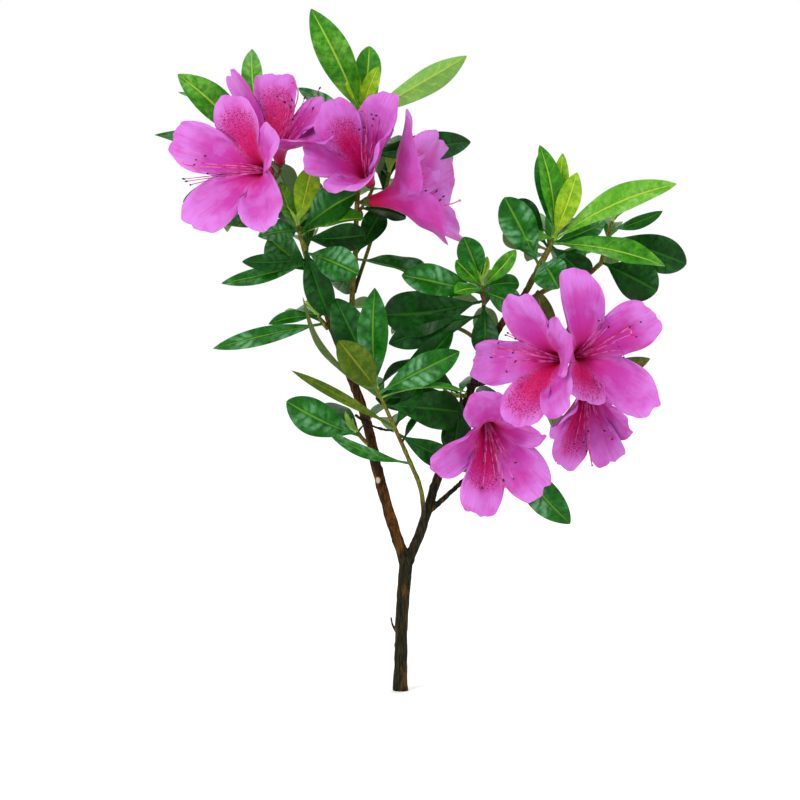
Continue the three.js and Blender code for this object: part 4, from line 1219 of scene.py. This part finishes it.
def petal_grid(bloom, stand, k, deal):
    """Points of one petal's middle surface and the directions of its outer face."""
    opening, long, wide = bloom["petals"][k]
    ring, across, lobe, distance = petal_outline(long, deal)
    before, after = bloom["petals"][k - 1][0], bloom["petals"][(k + 1) % PETALS][0]
    opening = mix(opening, np.where(across < 0, before, after), np.abs(across) ** 3 / 2)
    slope = mix(BLOOM["tube_slope"], opening, smooth(distance, *BLOOM["flare"]))
    curl = smooth(ring, 0.72, 1) - 0.25
    slope = np.radians(slope + BLOOM["recurve"] * curl * smooth(ring, 0.4, 0.8) * lobe)
    step = np.diff(distance, axis=0, prepend=0)
    radius = BLOOM["tube"] + np.cumsum(np.sin(slope) * step, axis=0)
    height = np.cumsum(np.cos(slope) * step, axis=0)
    spread, free = petal_spread(long, wide, distance, radius)
    clock = bloom["roll"] + PETAL_TURN * k + bloom["turns"][k] * free + across * spread
    points = in_bloom(stand, clock, radius, height)
    outward = unit_rows(in_bloom(stand, clock, np.cos(slope), -np.sin(slope)) - stand[0])
    relief = petal_relief(ring, across, free, bloom.get("ruffle", 1), deal)
    return points + outward * relief[..., None], outward, across, distance, ring


print("ruffles stand up to", round(sum(size for size, _ in RUFFLE), 2), "mm off the funnel")

# %% [markdown]
# The marks that a petal carries are kept on its points: 'blotch' is strongest on the one petal with the
# speckled patch and spills on to its neighbours' near sides, and 'rim' is where the pink pales. Both could
# be painted on a picture, but numbers on the points need no file. The plan of the petal is a map again.

# %% Petal marks
BLOTCH = {"wide": 1.9, "narrow": 1.05, "narrows": (8, 40), "fades": (26, 50), "soft": (0.25, 1.0)}
RIM_FROM, EDGE_FROM = 0.5, 0.55
PLAN_SPACING, PLAN_WIDTH, PLAN_LENGTH = 2.2, 11, 60


def blotch_share(k, blotch, across, distance):
    """How strongly the speckled patch shows, from 0 to 1."""
    away = (k - blotch + 2) % PETALS - 2
    if abs(away) > 1:
        return np.zeros_like(across)
    sideways = across + 2 * away
    width = mix(BLOTCH["wide"], BLOTCH["narrow"], smooth(distance, *BLOTCH["narrows"]))
    inside = 1 - smooth(np.abs(sideways) / width, *BLOTCH["soft"])
    return inside * (1 - smooth(distance, *BLOTCH["fades"]))


def corolla(bloom, seed):
    """The five petals of a bloom as one shape, with its material slots, maps and marks."""
    stand = bloom_frame(bloom)
    deal = dealer(seed)
    shapes, slots, plans, sheet, marks = [], [], [], [], {"blotch": [], "rim": []}
    faces = grid_faces(PETAL_ROWS, PETAL_COLUMNS)
    for k in range(PETALS):
        points, outward, across, distance, ring = petal_grid(bloom, stand, k, deal)
        half_thick = (BLOOM["thick"] / 2 * (1 - ring**8))[..., None]
        shapes.append(((points - outward * half_thick).reshape(-1, 3), faces.tolist()))
        shapes.append(((points + outward * half_thick).reshape(-1, 3), faces[:, ::-1].tolist()))
        slots += [0] * len(faces) + [1] * len(faces)
        plan_across = (across + 1 + PLAN_SPACING * k) / PLAN_WIDTH
        plan = np.stack([plan_across, distance / PLAN_LENGTH], axis=-1).reshape(-1, 2)
        rim = np.maximum(smooth(ring, RIM_FROM, 1), smooth(np.abs(across), EDGE_FROM, 1))
        for side in (0, 1):
            plans.append(plan)
            tile = np.stack([(across + 1) / 2, ring], axis=-1).reshape(-1, 2)
            inset = TILE_MARGIN + tile * (1 - 2 * TILE_MARGIN)
            sheet.append((np.array([k, side]) + inset) / [PETALS, 2])
            marks["blotch"].append(blotch_share(k, bloom["blotch"], across, distance).ravel())
            marks["rim"].append(rim.ravel())
    maps = {"OFBake": np.vstack(sheet), "petal_plan": np.vstack(plans)}
    return joined(shapes), slots, maps, {name: np.concatenate(rows) for name, rows in marks.items()}


print("the patch fades out", BLOTCH["fades"][1], "mm from the foot")

# %% [markdown]
# The petals are an orchid pink that pales towards the rim, with fine veins that fan out from a crimson
# throat. The patch is a crimson stain under dense dark speckles, set out in rows along the veins. One
# colour ramp from foot to rim would be quicker, but the veins and clouds make a petal look alive close up.
# The back of a petal is deeper and plainer. A little sheen stands for the satin of the skin.

# %% Petal finish
PATCH_STAIN = paint(204, 8, 92)
SPECKLE = paint(142, 0, 50)
DEEP_THROAT = paint(188, 4, 56)


def petal_finish(name, body, rim, throat, is_face):
    """The skin of a petal. Only its face carries the patch."""
    petal = Finish(name, 0.55, Sheen_Weight=0.06, Sheen_Roughness=0.4, Specular_IOR_Level=0.15)
    plan = petal.node("UVMap", uv_map="petal_plan")
    reach = petal.node("SeparateXYZ", {0: plan}, output=1)
    place = petal.node("TexCoord", output="Object")
    veins = petal.noise(petal.stretched(plan, (420, 5.0, 1)), 1.0, 2.0, 0.5)
    broad_veins = petal.noise(petal.stretched(plan, (110, 2.2, 1)), 1.0, 2.0, 0.5)
    clouds = petal.noise(place, 70.0, 3.0)
    pale = petal.sums("MULTIPLY", petal.mark("rim"), petal.step(clouds, 0.3, 0.6, 0.4, 1.0))
    skin = petal.blend(pale, body, rim)
    skin = petal.blend(petal.step(clouds, 0.46, 0.68, 0.0, 0.5), skin, rim)
    skin = petal.blend(petal.step(clouds, 0.28, 0.44, 0.22, 0.0), skin, throat)
    skin = petal.blend(petal.step(veins, 0.48, 0.72, 0.0, 0.38), skin, throat)
    skin = petal.blend(petal.step(broad_veins, 0.55, 0.75, 0.0, 0.28), skin, throat)
    skin = petal.blend(petal.step(reach, 0.12, 0.55, 0.95, 0.0), skin, throat)
    if is_face:
        blotch = petal.mark("blotch")
        patchy = petal.sums("MULTIPLY", blotch, petal.step(clouds, 0.3, 0.6, 0.6, 1.0))
        skin = petal.blend(petal.sums("MULTIPLY", patchy, 0.95), skin, PATCH_STAIN)
        spots = petal.node("TexVoronoi", {"Vector": petal.stretched(plan, (30, 10, 1)), "Scale": 6.5})
        dots = petal.step(spots, 0.28, 0.50, 1.0, 0.0)
        dots = petal.sums("MULTIPLY", dots, petal.step(blotch, 0.03, 0.25))
        skin = petal.blend(petal.sums("MULTIPLY", dots, 0.85), skin, SPECKLE)
    skin = petal.blend(petal.step(reach, 0.05, 0.26, 0.9, 0.0), skin, DEEP_THROAT)
    cells = petal.noise(place, 3200.0, 2.0)
    petal.bump(petal.sums("MULTIPLY_ADD", veins, 0.8, petal.sums("MULTIPLY", cells, 0.3)), 0.3, 0.0003)
    return petal.colour(skin)


petal_face = petal_finish("petal_face", body=paint(190, 60, 170), rim=paint(208, 126, 218),
                          throat=paint(200, 14, 116), is_face=True)
petal_back = petal_finish("petal_back", body=paint(184, 40, 148), rim=paint(200, 92, 196),
                          throat=paint(194, 22, 114), is_face=False)
print("finishes:", petal_face.name, "and", petal_back.name)

# %% [markdown]
# Now the eight corollas are made, one object each. Every bloom deals its ruffles from its own seed, so
# that a change to one leaves the others as they are.

# %% Open the blooms
COROLLA_SEED = 900
for i, (name, bloom) in enumerate(BLOOMS.items()):
    shape, slots, maps, marks = corolla(bloom, COROLLA_SEED + i)
    mesh_piece(name.replace("bloom", "corolla"), shape, [petal_face, petal_back], [name],
               slots=slots, maps=maps, marks=marks)

# %% [markdown]
# ## Stamens, styles and stalks
# Nine pink filaments lean to one side of the throat and curl up at their ends, each with a dark anther. The
# style is longer, paler and stouter, with a small round stigma. Curves with a bevel would do for such
# threads, but the tubes from above can thin towards their ends in one line.

# %% Stamens
FILAMENTS = 9
FILAMENT = {"length": (27, 41), "radius": 0.30, "start": 2.5, "fan": 7.5, "thins": (1.2, 0.75), "sides": 7}
STYLE = {"length": 49, "radius": 0.34, "fan": 1.0, "curl": 1.9, "thins": (1.2, 0.9), "sides": 8}
ANTHER = {"length": 2.1, "radius": 0.5, "tilt": 0.9}
STIGMA = {"length": 1.4, "radius": 0.7}
STAMEN_SEED = 70


def reaching(stand, clock, fan, sweep, lean, length, curl):
    """A thread out of the throat: fans out by 'fan', leans by 'lean' and curls back at its end."""
    s = np.linspace(0, 1, 26)
    foot, axis, up, left = stand

    def towards(angle):
        angle = math.radians(angle)
        return up * math.cos(angle) + left * math.sin(angle)

    out = towards(clock) * (1.0 + fan * s**1.5)[:, None]
    bend = towards(sweep) * (lean * (2.0 * s**2.2 - 0.75 * curl * s**5))[:, None]
    return foot + axis * (FILAMENT["start"] + length * s)[:, None] + out + bend


def thread(path, kind):
    """A tube along a path, thinning from its foot to its tip."""
    return tube(path, np.linspace(*kind["thins"], len(path)) * kind["radius"], kind["sides"])


def pod(centre, way, length, radius):
    """A small rounded body along a direction."""
    s = np.linspace(-1, 1, 7)
    path = centre + way * (s * length / 2)[:, None]
    return tube(path, radius * np.sqrt(np.clip(1 - (s * 0.98) ** 2, 0.02, 1)), 8)


threads, anthers, styles = [], [], []
for i, bloom in enumerate(BLOOMS.values()):
    deal, stand = dealer(STAMEN_SEED + i), bloom_frame(bloom)
    sweep, lean = bloom["sweep"]
    for n in range(FILAMENTS):
        length = mix(*FILAMENT["length"], deal())
        fan = FILAMENT["fan"] * (0.5 + deal())
        clock = 360 * n / FILAMENTS + 20 * deal()
        path = reaching(stand, clock, fan, sweep, lean * (0.7 + 0.5 * deal()), length, 0.8 + 1.2 * deal())
        threads.append(thread(path, FILAMENT))
        tilt = ANTHER["tilt"] * (np.array([deal(), deal(), deal()]) - 0.5)
        way = unit(unit(path[-1] - path[-2]) + tilt)
        anthers.append(pod(path[-1], way, ANTHER["length"], ANTHER["radius"]))
    path = reaching(stand, sweep, STYLE["fan"], sweep, lean, STYLE["length"], STYLE["curl"])
    styles.append(thread(path, STYLE))
    styles.append(pod(path[-1], unit(path[-1] - path[-2]), STIGMA["length"], STIGMA["radius"]))
print(len(threads), "filaments and", len(BLOOMS), "styles")

# %% [markdown]
# These parts are too thin to show more than a tone, so one plain recipe serves them all: two colours that
# a soft noise mixes, and a fine grain on which the light breaks.

# %% Stamen finishes
def thread_finish(name, low, high, roughness):
    finish = Finish(name, roughness, Specular_IOR_Level=0.3)
    place = finish.node("TexCoord", output="Object")
    tone = finish.noise(place, 260.0, 2.0)
    grain = finish.noise(place, 4000.0, 2.0)
    finish.bump(grain, 0.25, 0.0002)
    return finish.colour(finish.blend(finish.step(tone, 0.35, 0.65), low, high))


ALL_BLOOMS = list(BLOOMS)
mesh_piece("filaments", joined(threads),
           [thread_finish("filament", paint(186, 16, 112), paint(228, 116, 196), 0.4)], ALL_BLOOMS)
mesh_piece("anthers", joined(anthers),
           [thread_finish("anther", paint(36, 8, 44), paint(84, 40, 84), 0.6)], ALL_BLOOMS)
mesh_piece("styles", joined(styles),
           [thread_finish("style", paint(200, 36, 104), paint(232, 120, 164), 0.4)], ALL_BLOOMS)

# %% [markdown]
# Each bloom hangs on a short stalk from the knob at the shoot's tip, where last winter's bud opened. Where
# three stalks leave one knob they would cross, so their directions are pushed apart first, step by step.

# %% Directions of the stalks
KNOB_WIDTH = 5.8
PEDICEL = {
    "width": 1.8, "sides": 12, "sink": 0.8, "rise": 3.75, "neck": 3.5, "into_cup": 0.6, "step": 1.0,
    "flare": 0.35, "swollen_foot": 0.25, "spread": 46,
}
PUSHES, PUSH = 40, 0.05


def leaving_ways(stands, centre):
    """The directions in which the stalks of one knob leave it, pushed apart until none touch."""
    ways = [unit(foot - axis * PEDICEL["neck"] - centre) for foot, axis, _, _ in stands]
    for _ in range(PUSHES):
        for i in range(len(ways)):
            for j in range(i + 1, len(ways)):
                if math.acos(min(1, ways[i] @ ways[j])) > math.radians(PEDICEL["spread"]):
                    continue
                apart = (ways[i] - ways[j]) * PUSH
                ways[i], ways[j] = unit(ways[i] + apart), unit(ways[j] - apart)
    return ways


print("stalks of one knob stand", PEDICEL["spread"], "degrees apart")

# %% [markdown]
# The green calyx is a little cup with five points that grips the foot of the funnel. It is drawn as a pot
# is turned, ring by ring from a profile, outside first and then down the inside. The points of the cup
# come from pulling the upper rings down between them.

# %% Stalks and calyces
CALYX = (  # radius, height and share of the points, ring by ring
    (0.9, -3.2, 0), (1.5, -1.6, 0), (2.3, -0.3, 0), (2.75, 1.4, 0.4),
    (3.0, 2.8, 1.0), (2.8, 2.7, 0.95), (2.2, 0.4, 0),
)
CALYX_SIDES, CALYX_POINT, CALYX_RIB = 40, 1.7, 0.05


def calyx(stand):
    """The cup round the foot of a bloom."""
    foot, axis, up, left = stand
    turn = np.linspace(0, 2 * math.pi, CALYX_SIDES, endpoint=False)
    outward = up * np.cos(turn)[:, None] + left * np.sin(turn)[:, None]
    wave = 0.5 + 0.5 * np.cos(PETALS * turn)
    rings = []
    for radius, height, point in CALYX:
        high = height - CALYX_POINT * point * (1 - wave)
        out = radius * (1 + CALYX_RIB * wave)
        rings.append(foot + axis * high[:, None] + outward * out[:, None])
    return np.vstack(rings), ring_faces(len(rings), len(turn)).tolist()


def stalk(stand, centre, way):
    """A stalk from its knob to its cup, thicker at both ends."""
    foot, axis, _, _ = stand
    start = centre + way * (KNOB_WIDTH / 2 - PEDICEL["sink"])
    neck, end = foot - axis * PEDICEL["neck"], foot + axis * PEDICEL["into_cup"]
    path = even_path([start, start + way * PEDICEL["rise"], neck, end], PEDICEL["step"])
    shares = np.linspace(0, 1, len(path))
    thick = (1 + PEDICEL["flare"] * smooth(shares, 0.7, 1)
             + PEDICEL["swollen_foot"] * (1 - smooth(shares, 0, 0.12)))
    return tube(path, PEDICEL["width"] / 2 * thick, PEDICEL["sides"])


stalks, cups = [], []
for knob, centre in KNOBS.items():
    centre = np.array(centre, float)
    stands = [bloom_frame(bloom) for bloom in BLOOMS.values() if bloom["knob"] == knob]
    for stand, way in zip(stands, leaving_ways(stands, centre)):
        stalks.append(stalk(stand, centre, way))
        cups.append(calyx(stand))

mesh_piece("bloom_stalks", joined(stalks),
           [thread_finish("bloom_stalk", paint(92, 60, 26), paint(120, 104, 44), 0.6)], ALL_BLOOMS)
mesh_piece("calyces", joined(cups),
           [thread_finish("calyx", paint(54, 72, 12), paint(104, 120, 40), 0.55)], ALL_BLOOMS)

# %% [markdown]
# ## Bud scales
# At each knob the brown scales of the flower bud stay on for a while after it opens. They are small
# pointed cups, laid round the knob like tiles. Scattering copies over a ball would leave gaps. So the
# angle by which shoots set their leaves also sets the scales, each bent round the knob by a formula.

# %% Knobs and scales
SCALE = {
    "count": 8, "length": 4.2, "more": 1.6, "wide": 0.42, "thick": 0.35, "below": 0.45, "rows": 9,
    "columns": 7,
}
SCALE_SEED = 200
UPWARD = np.array([0, 0, 1.0])


def scale_leaf(centre, across, size):
    """The outer and inner skin of one pointed bud scale that hugs the knob."""
    t, u = np.meshgrid(np.linspace(0, 1, SCALE["rows"]), np.linspace(-1, 1, SCALE["columns"]),
                       indexing="ij")
    half = size * SCALE["wide"] * np.sin(math.pi * np.clip(t * 0.86 + 0.12, 0, 1)) ** 0.8
    side = np.cross(UPWARD, across)
    bulge = KNOB_WIDTH / 2 * (0.75 + 0.45 * np.sin(math.pi * (t * 0.75 + 0.1))) + 0.5 * t
    turn = u * half / (KNOB_WIDTH / 2)
    out = across * (np.cos(turn) * bulge)[..., None] + side * (np.sin(turn) * bulge)[..., None]
    outer = centre + UPWARD * (size * (t - SCALE["below"]))[..., None] + out
    inner = outer - unit_rows(out) * SCALE["thick"]
    faces = grid_faces(SCALE["rows"], SCALE["columns"])
    return [(outer.reshape(-1, 3), faces[:, ::-1].tolist()), (inner.reshape(-1, 3), faces.tolist())]


scales = []
for i, centre in enumerate(KNOBS.values()):
    deal = dealer(SCALE_SEED + i)
    centre = np.array(centre, float)
    scales.append(pod(centre, UPWARD, KNOB_WIDTH, KNOB_WIDTH / 2))
    for n in range(SCALE["count"]):
        turn = math.radians(GOLDEN_ANGLE * n)
        across = np.array([math.cos(turn), math.sin(turn), 0])
        scales += scale_leaf(centre, across, SCALE["length"] + SCALE["more"] * deal())
mesh_piece("bud_scales", joined(scales),
           [thread_finish("bud_scale", paint(96, 62, 28), paint(134, 118, 56), 0.65)], TUFTLESS)

# %% [markdown]
# ## Floor and light
# The plant stands on a plain pale floor, so that its colours aren't tinted from below. A curved backdrop
# could be built, but a white surround does the same with less. The floor stands apart from the plant's
# body.

# %% Floor
FLOOR_SIZE = 6.0
floor_mesh = bpy.data.meshes.new("floor")
half = FLOOR_SIZE / 2
floor_corners = [(-half, -half, 0), (half, -half, 0), (half, half, 0), (-half, half, 0)]
floor_mesh.from_pydata(floor_corners, [], [(0, 1, 2, 3)])
floor = bpy.data.objects.new("floor", floor_mesh)
bpy.context.scene.collection.objects.link(floor)
floor_finish = Finish("pale_floor", 0.9)
floor_grain = floor_finish.noise(floor_finish.node("TexCoord", output="Object"), 30.0)
floor_mesh.materials.append(floor_finish.colour(
    floor_finish.blend(floor_grain, paint(252, 252, 252), paint(255, 255, 255))))
print("floor:", FLOOR_SIZE, "m wide")

# %% [markdown]
# A sun would draw hard shadows on the petals. Three large round panels instead keep the light soft: the
# key from the upper left, a weak fill from the right, and one from above and behind that brings out the
# rims. Each is turned towards the middle of the plant. The white surround does the rest.

# %% Light
PANELS = {  # place, size and power
    "key_panel": ((-0.9, -1.3, 1.5), 0.5, 12),
    "fill_panel": ((1.4, -1.2, 0.7), 1.2, 2),
    "top_panel": ((0.2, 0.9, 1.6), 1.0, 6),
}
for name, (place, size, power) in PANELS.items():
    light = bpy.data.lights.new(name, "AREA")
    light.shape, light.size, light.energy = "DISK", size, power
    lamp = bpy.data.objects.new(name, light)
    bpy.context.scene.collection.objects.link(lamp)
    lamp.location = place
    lamp.rotation_euler = (AIM - Vector(place)).to_track_quat("-Z", "Y").to_euler()

world = bpy.data.worlds.new("studio")
world.use_nodes = True
world.node_tree.nodes["Background"].inputs["Color"].default_value = (1, 1, 1, 1)
world.node_tree.nodes["Background"].inputs["Strength"].default_value = 1.0
bpy.context.scene.world = world
bpy.context.scene.view_settings.view_transform = "Standard"
print(len(PANELS), "panels and a white surround")
